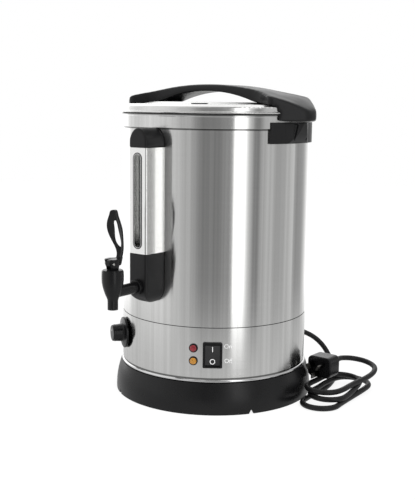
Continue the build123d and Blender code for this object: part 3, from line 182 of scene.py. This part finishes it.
def raise_grain(tree, shader, fac, depth, strength=0.5):
    """Bump from a noise value; depth is the height in metres between its dark and light."""
    bump = add_node(tree, "ShaderNodeBump", Height=fac, Distance=depth, Strength=strength)
    tree.links.new(bump.outputs["Normal"], shader.inputs["Normal"])


def tinted(colour, factor):
    """The colour made darker or lighter by a factor."""
    return tuple(min(c * factor, 1) for c in colour[:3]) + (1,)


# %% Objects
def plain_mesh(source):
    """The mesh that an object shows with its modifiers worked out."""
    shown_now = source.evaluated_get(bpy.context.evaluated_depsgraph_get())
    return bpy.data.meshes.new_from_object(shown_now)


def make_object(name, mesh, finish, body, smooth=True):
    """A finished object at the origin that moves with a body."""
    piece = bpy.data.objects.new(name, mesh)
    bpy.context.scene.collection.objects.link(piece)
    mesh.materials.clear()
    mesh.materials.append(finish)
    for face in mesh.polygons:
        face.use_smooth = smooth
    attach(piece, body)
    return piece


# %% [markdown]
# ## The mains cord
# The flex leaves the back of the band through a strain relief, drops to the table and lies there
# as a loose hank with the plug on top. A cord could be a swept solid, but real flex keeps one
# length and one smooth line, so it is a single NURBS curve with a round bevel. Its first points
# are the route of the solid tube. The hank is written as folds, each half a circle, with
# straight strands between them.

# %% Lay the cord
cord_d = 6.6
cord_r = cord_d / 2
lying = 3.4  # height of the lowest strands' middle line
fold_r = 23.5  # radius of the wider folds
gland_bearing, gland_end, gland_lead, gland_z = 165, 126, 15.5, 50
route = [spot(gland_bearing, gland_end + along, gland_z) / mm for along in (0, gland_lead)]
route += [
    Vector(point)
    for point in (
        (43.5, 149.5, 45.0),
        (54.0, 158.0, 38.0),
        (66.0, 161.5, 27.5),
        (78.0, 158.0, 15.5),
        (89.5, 146.5, 5.5),
        (100.5, 133.0, 3.8),
        (108.0, 120.5, 3.6),
        (114.0, 107.5, 3.6),
    )
]


def fold(centre, heading, r, z_in, z_out):
    """Five points round one fold of the hank, counter-clockwise; heading is where it bulges."""
    bend = []
    for k in range(5):
        angle = radians(heading - 90 + 45 * k)
        z = z_in + (z_out - z_in) * k / 4
        bend.append(Vector((centre[0] + r * cos(angle), centre[1] + r * sin(angle), z)))
    return bend


def strand(*stations):
    """Points of a straight run of the hank."""
    return [Vector(station) for station in stations]


hank = strand((121, 88, lying), (126, 66, lying), (128, 44, lying), (127.5, 28, lying))
hank += fold((150, 13), -58, fold_r, lying, lying)
hank += fold((148, 90), 75, fold_r, 6.8, 10.0)
hank += strand((125.5, 64, 10.0), (128.5, 44, 10.0))
hank += fold((151, 29), -72, 23, 10.0, 10.0)
hank += fold((143.5, 76), 98, 23, 13.6, 16.5)
hank += strand((122.5, 50, 16.6))
hank += fold((145, 31), -98, 23, 16.7, 17.0)
hank += strand((168, 60, 19), (171, 86, 20))
hank += fold((147, 108), 90, fold_r, 22, 32.5)
hank += strand((124, 100, 33), (124, 94, 33))
points = route + hank

line = bpy.data.curves.new("mains_cord", "CURVE")
line.dimensions = "3D"
spline = line.splines.new("NURBS")
spline.points.add(len(points) - 1)
for control, point in zip(spline.points, points):
    control.co = (*(point * mm), 1)
    control.radius = cord_r * mm
spline.order_u = 3
spline.use_endpoint_u = True
spline.resolution_u = 8
line.bevel_depth = 1.0  # a unit round: each point's own radius makes it the cord's
line.bevel_resolution = 6
line.use_fill_caps = True
mains_cord = bpy.data.objects.new("mains_cord", line)
bpy.context.scene.collection.objects.link(mains_cord)
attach(mains_cord, "vessel")
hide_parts("power_cord", "cord_hank")
print("cord points", len(points))

# %% [markdown]
# ## Table and light
# The urn stands on a plain white table in soft studio light. What polished steel shows is its
# surroundings, so they are made with care: a ring of soft upright panels, light and dark, is
# drawn into the world for the rays that bounce off glossy things, and the camera itself sees
# plain white. The panels could be lamps, but a colour ramp over the bearing is easier to tune.

# %% White table
table_r, table_z = 3.0, -0.0003
table_grey, table_glow, table_in_metal = 0.22, 0.86, 0.62
near_r, far_r = 0.25, 0.75  # between them the table fades out of what polished metal shows
table_mesh = bpy.data.meshes.new("table")
shape = bmesh.new()
bmesh.ops.create_circle(shape, cap_ends=True, radius=table_r, segments=96)
shape.to_mesh(table_mesh)
shape.free()
table = bpy.data.objects.new("table", table_mesh)
bpy.context.scene.collection.objects.link(table)
table.location.z = table_z
white_table = bpy.data.materials.new("white_table")
white_table.use_nodes = True
tree = white_table.node_tree
tree.nodes.clear()
rays = add_node(tree, "ShaderNodeLightPath").outputs
place = add_node(tree, "ShaderNodeTexCoord").outputs["Object"]
reach = add_node(tree, "ShaderNodeVectorMath", {"operation": "LENGTH"})
tree.links.new(place, reach.inputs[0])
near = add_node(
    tree,
    "ShaderNodeMapRange",
    Value=reach.outputs["Value"],
    From_Min=near_r,
    From_Max=far_r,
    To_Min=1.0,
    To_Max=0.0,
)
lit = add_node(tree, "ShaderNodeBsdfDiffuse", Color=grey(table_grey))
glow = add_node(tree, "ShaderNodeEmission", Color=grey(1.0), Strength=table_glow)
seen = add_node(tree, "ShaderNodeAddShader")
tree.links.new(lit.outputs[0], seen.inputs[0])
tree.links.new(glow.outputs[0], seen.inputs[1])
mirrored = add_node(tree, "ShaderNodeEmission", Color=grey(1.0), Strength=table_in_metal)
through = add_node(tree, "ShaderNodeBsdfTransparent")
faded = add_node(tree, "ShaderNodeMixShader")
tree.links.new(near.outputs["Result"], faded.inputs[0])
tree.links.new(through.outputs[0], faded.inputs[1])
tree.links.new(mirrored.outputs[0], faded.inputs[2])
by_ray = add_node(tree, "ShaderNodeMixShader")
tree.links.new(rays["Is Glossy Ray"], by_ray.inputs[0])
tree.links.new(seen.outputs[0], by_ray.inputs[1])
tree.links.new(faded.outputs[0], by_ray.inputs[2])
out = add_node(tree, "ShaderNodeOutputMaterial")
tree.links.new(by_ray.outputs[0], out.inputs["Surface"])
table_mesh.materials.append(white_table)
print("table radius", table_r)

# %% Studio panels
# Each panel is (bearing, brightness); between two entries the brightness runs evenly.
panels = (
    (-180, 0.70), (-172, 1.0), (-160, 1.35), (-129, 1.5), (-96, 1.5), (-90, 1.0),
    (-70, 0.75), (-55, 0.9), (-28, 0.82), (-12, 0.68), (-6, 0.54), (4, 0.56), (14, 0.33),
    (20, 0.24), (40, 0.25), (51, 0.32), (57.5, 0.36), (58.5, 2.0), (71, 2.0), (75, 0.95),
    (79, 0.60), (84, 0.26), (89, 0.24), (96, 0.55), (108, 0.56), (116, 0.45), (125, 0.43),
    (140, 0.64), (150, 0.60), (153, 0.34), (168, 0.36), (180, 0.70),
)
panel_top = 2.5  # the colour ramp holds shares of this brightness
canopy_low, canopy_high, canopy_light = 0.75, 0.93, 0.8
matt_light = 0.7  # for surfaces that mirror nothing
world = bpy.data.worlds.new("studio")
bpy.context.scene.world = world
world.use_nodes = True
tree = world.node_tree
tree.nodes.clear()
rays = add_node(tree, "ShaderNodeLightPath").outputs
place = add_node(tree, "ShaderNodeTexCoord").outputs["Generated"]
parts = add_node(tree, "ShaderNodeSeparateXYZ", Vector=place).outputs
front = add_node(tree, "ShaderNodeMath", {"operation": "MULTIPLY"})
tree.links.new(parts["Y"], front.inputs[0])
front.inputs[1].default_value = -1
bearing = add_node(tree, "ShaderNodeMath", {"operation": "ARCTAN2"})
tree.links.new(parts["X"], bearing.inputs[0])
tree.links.new(front.outputs[0], bearing.inputs[1])
spread = add_node(tree, "ShaderNodeMapRange", Value=bearing.outputs[0], From_Min=-pi, From_Max=pi)
ring = add_node(tree, "ShaderNodeValToRGB", Fac=spread.outputs["Result"])
stops = ring.color_ramp.elements
for k, (angle, brightness) in enumerate(panels):
    stop = stops[k] if k < 2 else stops.new(1)
    stop.position = (angle + 180) / 360
    stop.color = grey(brightness / panel_top)
over = add_node(
    tree, "ShaderNodeMapRange", Value=parts["Z"], From_Min=canopy_low, From_Max=canopy_high
)
canopy = add_node(tree, "ShaderNodeMix", {"data_type": "RGBA"})
tree.links.new(over.outputs["Result"], canopy.inputs["Factor"])
tree.links.new(ring.outputs["Color"], canopy.inputs[COLOUR_A])
canopy.inputs[COLOUR_B].default_value = grey(canopy_light / panel_top)
in_metal = add_node(
    tree, "ShaderNodeBackground", Color=canopy.outputs[COLOUR_OUT], Strength=panel_top
)
on_matt = add_node(tree, "ShaderNodeBackground", Color=grey(1.0), Strength=matt_light)
white = add_node(tree, "ShaderNodeBackground", Color=grey(1.0), Strength=1.0)
soft = add_node(tree, "ShaderNodeMixShader")
tree.links.new(rays["Is Glossy Ray"], soft.inputs[0])
tree.links.new(on_matt.outputs[0], soft.inputs[1])
tree.links.new(in_metal.outputs[0], soft.inputs[2])
plain = add_node(tree, "ShaderNodeMath", {"operation": "MAXIMUM"})
tree.links.new(rays["Is Camera Ray"], plain.inputs[0])
tree.links.new(rays["Is Transmission Ray"], plain.inputs[1])
shown = add_node(tree, "ShaderNodeMixShader")
tree.links.new(plain.outputs[0], shown.inputs[0])
tree.links.new(soft.outputs[0], shown.inputs[1])
tree.links.new(white.outputs[0], shown.inputs[2])
out = add_node(tree, "ShaderNodeOutputWorld")
tree.links.new(shown.outputs[0], out.inputs["Surface"])
print("panels", len(panels))


# %% Soft lamps
urn_middle = Vector((0, 0, 0.18))


def soft_lamp(name, position, size, power):
    """A large square lamp that points at the middle of the urn and isn't seen in the metal."""
    lamp = bpy.data.lights.new(name, "AREA")
    lamp.size = size
    lamp.energy = power
    lamp_object = bpy.data.objects.new(name, lamp)
    lamp_object.location = position
    aim = urn_middle - Vector(position)
    lamp_object.rotation_euler = aim.to_track_quat("-Z", "Y").to_euler()
    lamp_object.visible_camera = False
    lamp_object.visible_glossy = False
    bpy.context.scene.collection.objects.link(lamp_object)


soft_lamp("key_lamp", (1.1, -0.9, 1.6), 1.2, 14)
soft_lamp("fill_lamp", (-1.3, -1.2, 1.1), 1.4, 6)
bpy.context.scene.view_settings.view_transform = "Standard"
print("lamps", len(bpy.data.lights))

# %% [markdown]
# ## Steel
# The drum is sheet steel brushed round and round. Scratches that run round it blur a reflection
# upwards and downwards and leave it sharp from side to side, which is why the panels show as
# upright stripes. The shader does the same with its anisotropy, turned by the Tangent node. Fine
# noise that is drawn out round the drum gives the scratches, and noise that is drawn out
# upwards gives the faint streaks that rolling leaves in the sheet.


# %% Painted shadow line
def paint_shade_below(tree, shader, z):
    """Paint a narrow ring of shade into the sheet's colour where another piece stands over it."""
    place = add_node(tree, "ShaderNodeTexCoord").outputs["Object"]
    height = add_node(tree, "ShaderNodeSeparateXYZ", Vector=place).outputs["Z"]
    away = add_node(tree, "ShaderNodeMath", {"operation": "SUBTRACT"})
    tree.links.new(height, away.inputs[0])
    away.inputs[1].default_value = z * mm
    size = add_node(tree, "ShaderNodeMath", {"operation": "ABSOLUTE"})
    tree.links.new(away.outputs[0], size.inputs[0])
    near = add_node(
        tree,
        "ShaderNodeMapRange",
        Value=size.outputs[0],
        From_Min=0.5 * mm,
        From_Max=1.4 * mm,
        To_Min=0.22,
        To_Max=1.0,
    )
    # The steel's colour is multiplied by the ring, down to 0.22 at the edge: painted shade.
    plain = shader.inputs["Base Color"].links[0].from_socket
    dim = add_node(tree, "ShaderNodeMix", {"data_type": "RGBA", "blend_type": "MULTIPLY"})
    dim.inputs["Factor"].default_value = 1.0
    tree.links.new(plain, dim.inputs[COLOUR_A])
    tree.links.new(near.outputs["Result"], dim.inputs[COLOUR_B])
    tree.links.new(dim.outputs[COLOUR_OUT], shader.inputs["Base Color"])


# %% Brushed steel
upright_share = 0.82  # of the colour's pattern, the rest being the scratches


def brushed_finish(name, level, roughness, streak, scratch, anisotropy=0.85, shade_z=None):
    """Steel brushed round the z axis; shade_z is the height of an edge under which a ring of shade
    is painted.
    """
    finish, tree, shader = new_finish(
        name, Metallic=1.0, Anisotropic=anisotropy, Anisotropic_Rotation=0.25, Roughness=roughness
    )
    around = stretched(tree, (3, 3, 2600), detail=4, roughness=0.6)
    upright = stretched(tree, (200, 200, 0.5), detail=3)
    both = add_node(tree, "ShaderNodeMix", {"data_type": "FLOAT"})
    both.inputs["Factor"].default_value = upright_share
    tree.links.new(around, both.inputs[NUMBER_A])
    tree.links.new(upright, both.inputs[NUMBER_B])
    pattern = both.outputs[NUMBER_OUT]
    dark, light = level * (1 - streak), min(level * (1 + streak), 0.98)
    dark_steel, light_steel = (dark, dark, dark * 0.985, 1), (light, light, light * 0.99, 1)
    shade_between(tree, shader, pattern, dark_steel, light_steel)
    vary_roughness(tree, shader, around, roughness * 0.85, roughness * 1.2)
    raise_grain(tree, shader, around, scratch * mm, 0.35)
    # A ring of shade is painted into the colour just under the edge at shade_z.
    if shade_z:
        paint_shade_below(tree, shader, shade_z)
    tangent = add_node(tree, "ShaderNodeTangent", {"direction_type": "RADIAL", "axis": "Z"})
    tree.links.new(tangent.outputs["Tangent"], shader.inputs["Tangent"])
    return finish


# Edges under which a ring of shade is painted: the collar's foot on the shell, the lid's rim on
# the collar, the trim at the band's foot.
collar_edge, lid_edge, base_edge = 323.2, 339.2, 40.6
shell_steel = brushed_finish("shell_steel", 0.72, 0.15, 0.13, 0.003, shade_z=collar_edge)
band_steel = brushed_finish("band_steel", 0.73, 0.16, 0.11, 0.003, shade_z=base_edge)
collar_steel = brushed_finish("collar_steel", 0.70, 0.16, 0.08, 0.006, shade_z=lid_edge)
lid_steel = brushed_finish("lid_steel", 0.80, 0.24, 0.03, 0.01)
inner_steel = brushed_finish("inner_steel", 0.58, 0.38, 0.06, 0.01)
# The cover's steel is made far lighter than the shell's, a painted highlight that keeps its facets
# white.
column_steel_painted_light = brushed_finish("column_steel_painted_light", 0.93, 0.22, 0.02, 0.004, anisotropy=0.4)
print("brushed finishes", 6)


# %% Polished steel and other metals
def metal_finish(name, colour, roughness, wander, grain=220, bump=0.0):
    """Plain metal with smudges in its polish."""
    finish, tree, shader = new_finish(name, Metallic=1.0)
    smudge = stretched(tree, (45, 45, 45), detail=5)
    speck = stretched(tree, (grain, grain, grain), detail=4)
    shade_between(tree, shader, smudge, tinted(colour, 0.93), tinted(colour, 1.05))
    vary_roughness(tree, shader, smudge, roughness, roughness + wander)
    raise_grain(tree, shader, speck, bump * mm, 0.3)
    return finish


bright_steel = metal_finish("bright_steel", (0.80, 0.80, 0.80), 0.07, 0.06, bump=0.01)
aluminium = metal_finish("cast_aluminium", (0.75, 0.75, 0.76), 0.35, 0.1, 900, 0.05)
brass = metal_finish("brass", (0.75, 0.60, 0.30), 0.25, 0.15, 500, 0.02)
zinc_steel = metal_finish("zinc_plate", (0.66, 0.66, 0.63), 0.22, 0.15, 400, 0.02)
print("metals", 4)


# %% [markdown]
# ## Black mouldings
# Handle, lugs, column ends, base and tap are black plastic. None of it is truly black: light
# catches a fine moulded grain, and hands leave it a little smoother in some places. A grain bump
# of a few hundredths of a millimetre and a roughness that wanders show both.


# %% Plastics and rubber
def moulded_finish(name, colour, roughness, wander, grain=2200, bump=0.02, specular=0.5, coat=0.0):
    """Plastic or rubber with a moulded grain and uneven shine."""
    finish, tree, shader = new_finish(
        name, Specular_IOR_Level=specular, Coat_Weight=coat, Coat_Roughness=0.15
    )
    speck = stretched(tree, (grain, grain, grain), detail=2)
    cloud = stretched(tree, (38, 38, 38), detail=4)
    shade_between(tree, shader, cloud, tinted(colour, 0.85), tinted(colour, 1.18))
    vary_roughness(tree, shader, cloud, roughness, roughness + wander)
    raise_grain(tree, shader, speck, bump * mm, 0.4)
    return finish


black_moulding = moulded_finish(
    "black_moulding", (0.008, 0.008, 0.0085), 0.30, 0.10, specular=0.28
)
skirt_moulding = moulded_finish(
    "skirt_moulding", (0.007, 0.007, 0.0075), 0.24, 0.08, 1500, 0.015, specular=0.30
)
handle_moulding = moulded_finish(
    "handle_moulding", (0.009, 0.009, 0.0095), 0.30, 0.12, 1800, 0.02, specular=0.26
)
tap_moulding = moulded_finish(
    "tap_moulding", (0.006, 0.006, 0.0065), 0.22, 0.10, 1800, 0.01, specular=0.30
)
gloss_black = moulded_finish(
    "gloss_black", (0.005, 0.005, 0.0055), 0.20, 0.12, 1600, 0.01, specular=0.28
)
cord_sheath = moulded_finish(
    "cord_sheath", (0.008, 0.008, 0.0085), 0.36, 0.12, 1400, 0.02, specular=0.30
)
foot_rubber = moulded_finish("foot_rubber", (0.02, 0.02, 0.02), 0.65, 0.15, 1400, 0.05)
seal_silicone = moulded_finish("seal_silicone", (0.11, 0.11, 0.11), 0.45, 0.1, 1400, 0.02)
white_nylon = moulded_finish("white_nylon", (0.80, 0.79, 0.75), 0.45, 0.1)
wire_red = moulded_finish("wire_red", (0.45, 0.10, 0.07), 0.4, 0.1)
white_paint = moulded_finish("white_paint", (0.86, 0.86, 0.86), 0.4, 0.1, 2500, 0.01)
rocker_black = moulded_finish(
    "rocker_black", (0.022, 0.022, 0.023), 0.28, 0.1, 1600, 0.01, specular=0.45
)
print("mouldings", 12)

# %% Pins of the plug: sleeved at the root, nickel at the tip, darkened to a painted shade
sleeve_end = 40.5
# The tip's colour is far darker than nickel's: a painted shade that keeps the pins from showing
# bright.
pin_tip_in_painted_shade, sleeve_black = (0.16, 0.155, 0.145, 1), (0.01, 0.01, 0.01, 1)
sleeved_pins, tree, shader = new_finish("sleeved_pins", Metallic=1.0)
place = add_node(tree, "ShaderNodeTexCoord").outputs["Object"]
along = add_node(tree, "ShaderNodeSeparateXYZ", Vector=place).outputs["Y"]
sleeve = add_node(
    tree,
    "ShaderNodeMapRange",
    Value=along,
    From_Min=sleeve_end * mm,
    From_Max=(sleeve_end + 0.5) * mm,
)
worn = stretched(tree, (300, 300, 300), detail=4)
vary_roughness(tree, shader, worn, 0.25, 0.4)
shade_between(tree, shader, sleeve.outputs["Result"], pin_tip_in_painted_shade, sleeve_black)
raise_grain(tree, shader, worn, 0.02 * mm)
print("sleeve ends at", sleeve_end, "mm")

# %% [markdown]
# ## Glass and lenses
# The sight glass is a plain glass tube. The two lamps have clear tinted lenses with a faceted
# back that scatters the light: a Voronoi bump gives the facets, and part of the light is let
# through, so that the lens looks deep and not painted.

# %% Glass and lenses
sight_glass, tree, shader = new_finish(
    "sight_glass", Transmission_Weight=1.0, IOR=1.47, Base_Color=(0.96, 0.98, 0.98, 1)
)
film = stretched(tree, (60, 60, 8), detail=4)
vary_roughness(tree, shader, film, 0.01, 0.06)


def lens_finish(name, colour):
    """Tinted faceted lens."""
    finish, tree, shader = new_finish(
        name,
        Transmission_Weight=0.25,
        IOR=1.49,
        Coat_Weight=1.0,
        Coat_Roughness=0.04,
        Roughness=0.12,
    )
    place = add_node(tree, "ShaderNodeTexCoord").outputs["Object"]
    facets = add_node(tree, "ShaderNodeTexVoronoi", Vector=place, Scale=900).outputs["Distance"]
    shade_between(tree, shader, facets, tinted(colour, 1.25), tinted(colour, 0.6), 0.1, 0.8)
    raise_grain(tree, shader, facets, 0.4 * mm, 0.6)
    return finish


red_lens = lens_finish("red_lens", (0.34, 0.006, 0.018))
amber_lens = lens_finish("amber_lens", (0.75, 0.33, 0.02))
print("lenses", 2)

# %% [markdown]
# ## Dress the solid parts
# The record that comes with the frame names a material for every solid part. A table turns that
# name into a finish, and a second table holds the few parts that have a finish of their own.

# %% Give each part its finish
finish_of = {
    "brushed_steel": shell_steel,
    "bright_steel": bright_steel,
    "inner_steel": inner_steel,
    "black_plastic": black_moulding,
    "black_gloss": gloss_black,
    "tap_plastic": tap_moulding,
    "clear_tube": sight_glass,
    "red_lens": red_lens,
    "amber_lens": amber_lens,
    "dark_rubber": foot_rubber,
    "silicone": seal_silicone,
    "aluminium": aluminium,
    "brass": brass,
    "zinc_steel": zinc_steel,
    "white_nylon": white_nylon,
    "wire_insulation": wire_red,
    "cord_sheath": cord_sheath,
}
own_finish = {
    "housing_band": band_steel,
    "top_collar": collar_steel,
    "lid_cover": lid_steel,
    "base_skirt": skirt_moulding,
    "lid_handle": handle_moulding,
    "column_cover": column_steel_painted_light,
    "plug_pins": sleeved_pins,
    "switch_rocker": rocker_black,
}
for part in frame["record"]["subparts"]:
    solid = frame["nodes"][part["node"]]
    finish = own_finish.get(part["node"], finish_of[part["material_slot"]])
    if not solid.material_slots:
        solid.data.materials.append(finish)
    for seat in solid.material_slots:
        seat.material = finish
line.materials.append(cord_sheath)

# %% [markdown]
# ## Soft moulded edges
# A moulding has no sharp outer edges, and a rounded edge is what catches the light. The solid
# parts come with crisp edges. A bevel would have to pick its edges one by one, so the handle,
# the lugs and the ends of the gauge column are rebuilt in small even squares instead, and
# smoothed: flat and gently bent areas stay as they are, and every edge becomes round. The
# rounding grows with the size of the squares, in millimetres, and with the number of smoothing
# rounds. A wall has to be thicker than a square, or it would be lost.


# %% Round every edge of a moulding
def softened(name, node, body, square, rounds, finish):
    """A rounded copy of a solid piece, in place of the solid."""
    solid = frame["nodes"][node]
    shape = bmesh.new()
    shape.from_mesh(solid.data)
    bmesh.ops.remove_doubles(shape, verts=shape.verts, dist=1e-6)
    mesh = bpy.data.meshes.new(name + "_crisp")
    shape.to_mesh(mesh)
    shape.free()
    block = bpy.data.objects.new(name + "_block", mesh)
    bpy.context.scene.collection.objects.link(block)
    squares = block.modifiers.new("squares", "REMESH")
    squares.mode = "VOXEL"
    squares.voxel_size = square * mm
    smooth = block.modifiers.new("smooth", "SMOOTH")
    smooth.factor = 0.5
    smooth.iterations = rounds
    bpy.context.view_layer.update()
    rounded = plain_mesh(block)
    bpy.data.objects.remove(block)
    piece = make_object(name, rounded, finish, body)
    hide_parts(node)
    print(name, "faces", len(rounded.polygons))


softened("handle_body", "lid_handle", "lid", 1.3, 34, handle_moulding)
softened("lug_body_right", "lug_right", "vessel", 0.6, 8, black_moulding)
softened("lug_body_left", "lug_left", "vessel", 0.6, 8, black_moulding)
softened("cap_body", "column_cap", "vessel", 0.7, 16, black_moulding)
softened("base_body", "column_base", "vessel", 0.8, 7, black_moulding)

# %% [markdown]
# ## Marks
# The words beside the switch, the marks on the rocker and the line on the knob are printed.
# Each starts as a flat text curve that becomes a thin closed mesh. Its corners are then moved
# straight back until they meet the face they are printed on, so that they follow its curve.


# %% Printed marks
text_size = 1.38  # of the font, for capitals that are 1 high
print_over, print_under = 0.14, -0.05  # of the mark's two faces, from the face it lies on
print_start = 160  # distance from the axis, outside every part that carries a mark
print_reach = 45  # how far a corner goes in that finds no face
switch_bearing = 36.5
knob_bearing, knob_z = -33.5, 75.2


def printed(name, text, height, bearing, z, node, body):
    """White print on one of the solid pieces, seen from outside."""
    writing = bpy.data.curves.new(name, "FONT")
    writing.body = text
    writing.size = height * text_size * mm
    writing.align_x, writing.align_y = "CENTER", "CENTER"
    writing.extrude = 0.05 * mm
    source = bpy.data.objects.new(name + "_source", writing)
    bpy.context.scene.collection.objects.link(source)
    mesh = plain_mesh(source)
    bpy.data.objects.remove(source)
    solid = frame["nodes"][node]
    to_solid = solid.matrix_world.inverted()
    inward = -outward(bearing)
    place = facing(bearing, print_start, z)
    for corner in mesh.vertices:
        lift = print_over if corner.co.z > 0 else print_under
        start = place @ Vector((corner.co.x, corner.co.y, 0))
        hit, point, _, _ = solid.ray_cast(to_solid @ start, to_solid.to_3x3() @ inward)
        if hit:
            corner.co = solid.matrix_world @ point - inward * lift * mm
        else:
            corner.co = start + inward * print_reach * mm
    return make_object(name, mesh, white_paint, body, smooth=False)


marks = [
    printed("word_on", "On", 5.0, 45.3, 78.8, "housing_band", "vessel"),
    printed("word_off", "Off", 5.0, 45.6, 61.8, "housing_band", "vessel"),
    printed("mark_on", "I", 6.0, switch_bearing, 75.6, "switch_rocker", "rocker"),
    printed("mark_off", "O", 6.0, switch_bearing, 61.8, "switch_rocker", "rocker"),
    printed("knob_pointer", "I", 7.5, knob_bearing, knob_z + 5.5, "thermostat_knob", "knob"),
]
print("marks", len(marks))

# %% [markdown]
# ## Ribs of the knob
# The grip of the knob is ribbed all round. One rib repeated by a rule is work for Geometry
# Nodes: a thin round bar is placed on every point of a circle. The result is made into a plain
# mesh, so that nothing is left to compute.

# %% Rib rule
rib_rule = bpy.data.node_groups.new("rib_ring", "GeometryNodeTree")
for label, kind, value in (
    ("Count", "NodeSocketInt", 30),
    ("Grip Radius", "NodeSocketFloat", 0.0095),
    ("Rib Radius", "NodeSocketFloat", 0.0005),
    ("Rib Length", "NodeSocketFloat", 0.008),
):
    entry = rib_rule.interface.new_socket(label, in_out="INPUT", socket_type=kind)
    entry.default_value = value
rib_rule.interface.new_socket("Material", in_out="INPUT", socket_type="NodeSocketMaterial")
rib_rule.interface.new_socket("Geometry", in_out="OUTPUT", socket_type="NodeSocketGeometry")
asked = add_node(rib_rule, "NodeGroupInput").outputs
ring = add_node(
    rib_rule, "GeometryNodeMeshCircle", Vertices=asked["Count"], Radius=asked["Grip Radius"]
)
bar = add_node(
    rib_rule,
    "GeometryNodeMeshCylinder",
    Vertices=10,
    Radius=asked["Rib Radius"],
    Depth=asked["Rib Length"],
)
ribs = add_node(
    rib_rule,
    "GeometryNodeInstanceOnPoints",
    Points=ring.outputs["Mesh"],
    Instance=bar.outputs["Mesh"],
)
real = add_node(rib_rule, "GeometryNodeRealizeInstances", Geometry=ribs.outputs["Instances"])
painted = add_node(
    rib_rule,
    "GeometryNodeSetMaterial",
    Geometry=real.outputs["Geometry"],
    Material=asked["Material"],
)
result = add_node(rib_rule, "NodeGroupOutput")
rib_rule.links.new(painted.outputs["Geometry"], result.inputs["Geometry"])
print("rib rule nodes", len(rib_rule.nodes))

# %% Put the ribs on the knob
holder = bpy.data.objects.new("rib_holder", bpy.data.meshes.new("rib_holder"))
bpy.context.scene.collection.objects.link(holder)
rule = holder.modifiers.new("ribs", "NODES")
rule.node_group = rib_rule
wanted = {
    "Count": 30,
    "Grip Radius": 9.75 * mm,
    "Rib Radius": 0.45 * mm,
    "Rib Length": 8.5 * mm,
    "Material": gloss_black,
}
rib_middle = 124.0  # distance from the drum's axis
for entry in rib_rule.interface.items_tree:
    if entry.in_out == "INPUT":
        rule[entry.identifier] = wanted[entry.name]
bpy.context.view_layer.update()
rib_mesh = plain_mesh(holder)
bpy.data.objects.remove(holder)
rib_mesh.transform(facing(knob_bearing, rib_middle, knob_z))
make_object("knob_ribs", rib_mesh, gloss_black, "knob")
print("rib faces", len(rib_mesh.polygons))

# %% [markdown]
# ## Trim of the gauge slot
# A bright bead frames the slot, with a thin ring of black rubber outside it: painted shade along
# the cut's edge.
# Both are round bars that follow the slot's outline, a circle cut in two and pulled apart.


# %% Slot trims
arc_steps, bar_sides = 32, 10


def slot_trim(name, half_width, low_z, high_z, y, bar_r, finish):
    """Closed round bar along an upright slot outline in the plane y."""
    shape = bmesh.new()
    outline = []
    for start, middle_z in ((0, high_z), (pi, low_z)):
        for k in range(arc_steps + 1):
            angle = start + pi * k / arc_steps
            outline.append((half_width * cos(angle), middle_z + half_width * sin(angle), angle))
    loops = []
    for x, z, angle in outline:
        loop = []
        for j in range(bar_sides):
            side = 2 * pi * j / bar_sides
            reach = bar_r * cos(side)
            corner = (x + reach * cos(angle), y + bar_r * sin(side), z + reach * sin(angle))
            loop.append(shape.verts.new(Vector(corner) * mm))
        loops.append(loop)
    for k, loop in enumerate(loops):
        after = loops[(k + 1) % len(loops)]
        for j in range(bar_sides):
            i = (j + 1) % bar_sides
            shape.faces.new((loop[j], loop[i], after[i], after[j]))
    bmesh.ops.recalc_face_normals(shape, faces=shape.faces)
    mesh = bpy.data.meshes.new(name)
    shape.to_mesh(mesh)
    shape.free()
    return make_object(name, mesh, finish, "vessel")


slot_half = 5.25  # half the slot's width, and the radius of its two round ends
slot_low, slot_high, column_face = 191.4 + slot_half, 296.0 - slot_half, -143.4
slot_trim("slot_bead", 5.2, slot_low, slot_high, column_face - 0.1, 0.4, bright_steel)
# The black ring is painted shade: a dark bar along the edge of the slot's cut.
slot_trim("slot_shade_ring", 6.1, slot_low, slot_high, column_face, 0.5, foot_rubber)
print("slot trims", 2)

# %% [markdown]
# ## Measures
# The cord's own measures are stated for whoever lays it anew. Only the hank of the cord reaches
# past the bare parts.

print("cord from", [round(c, 3) for c in route[0] * mm])

# %% Bring the scene up to date
bpy.context.view_layer.update()
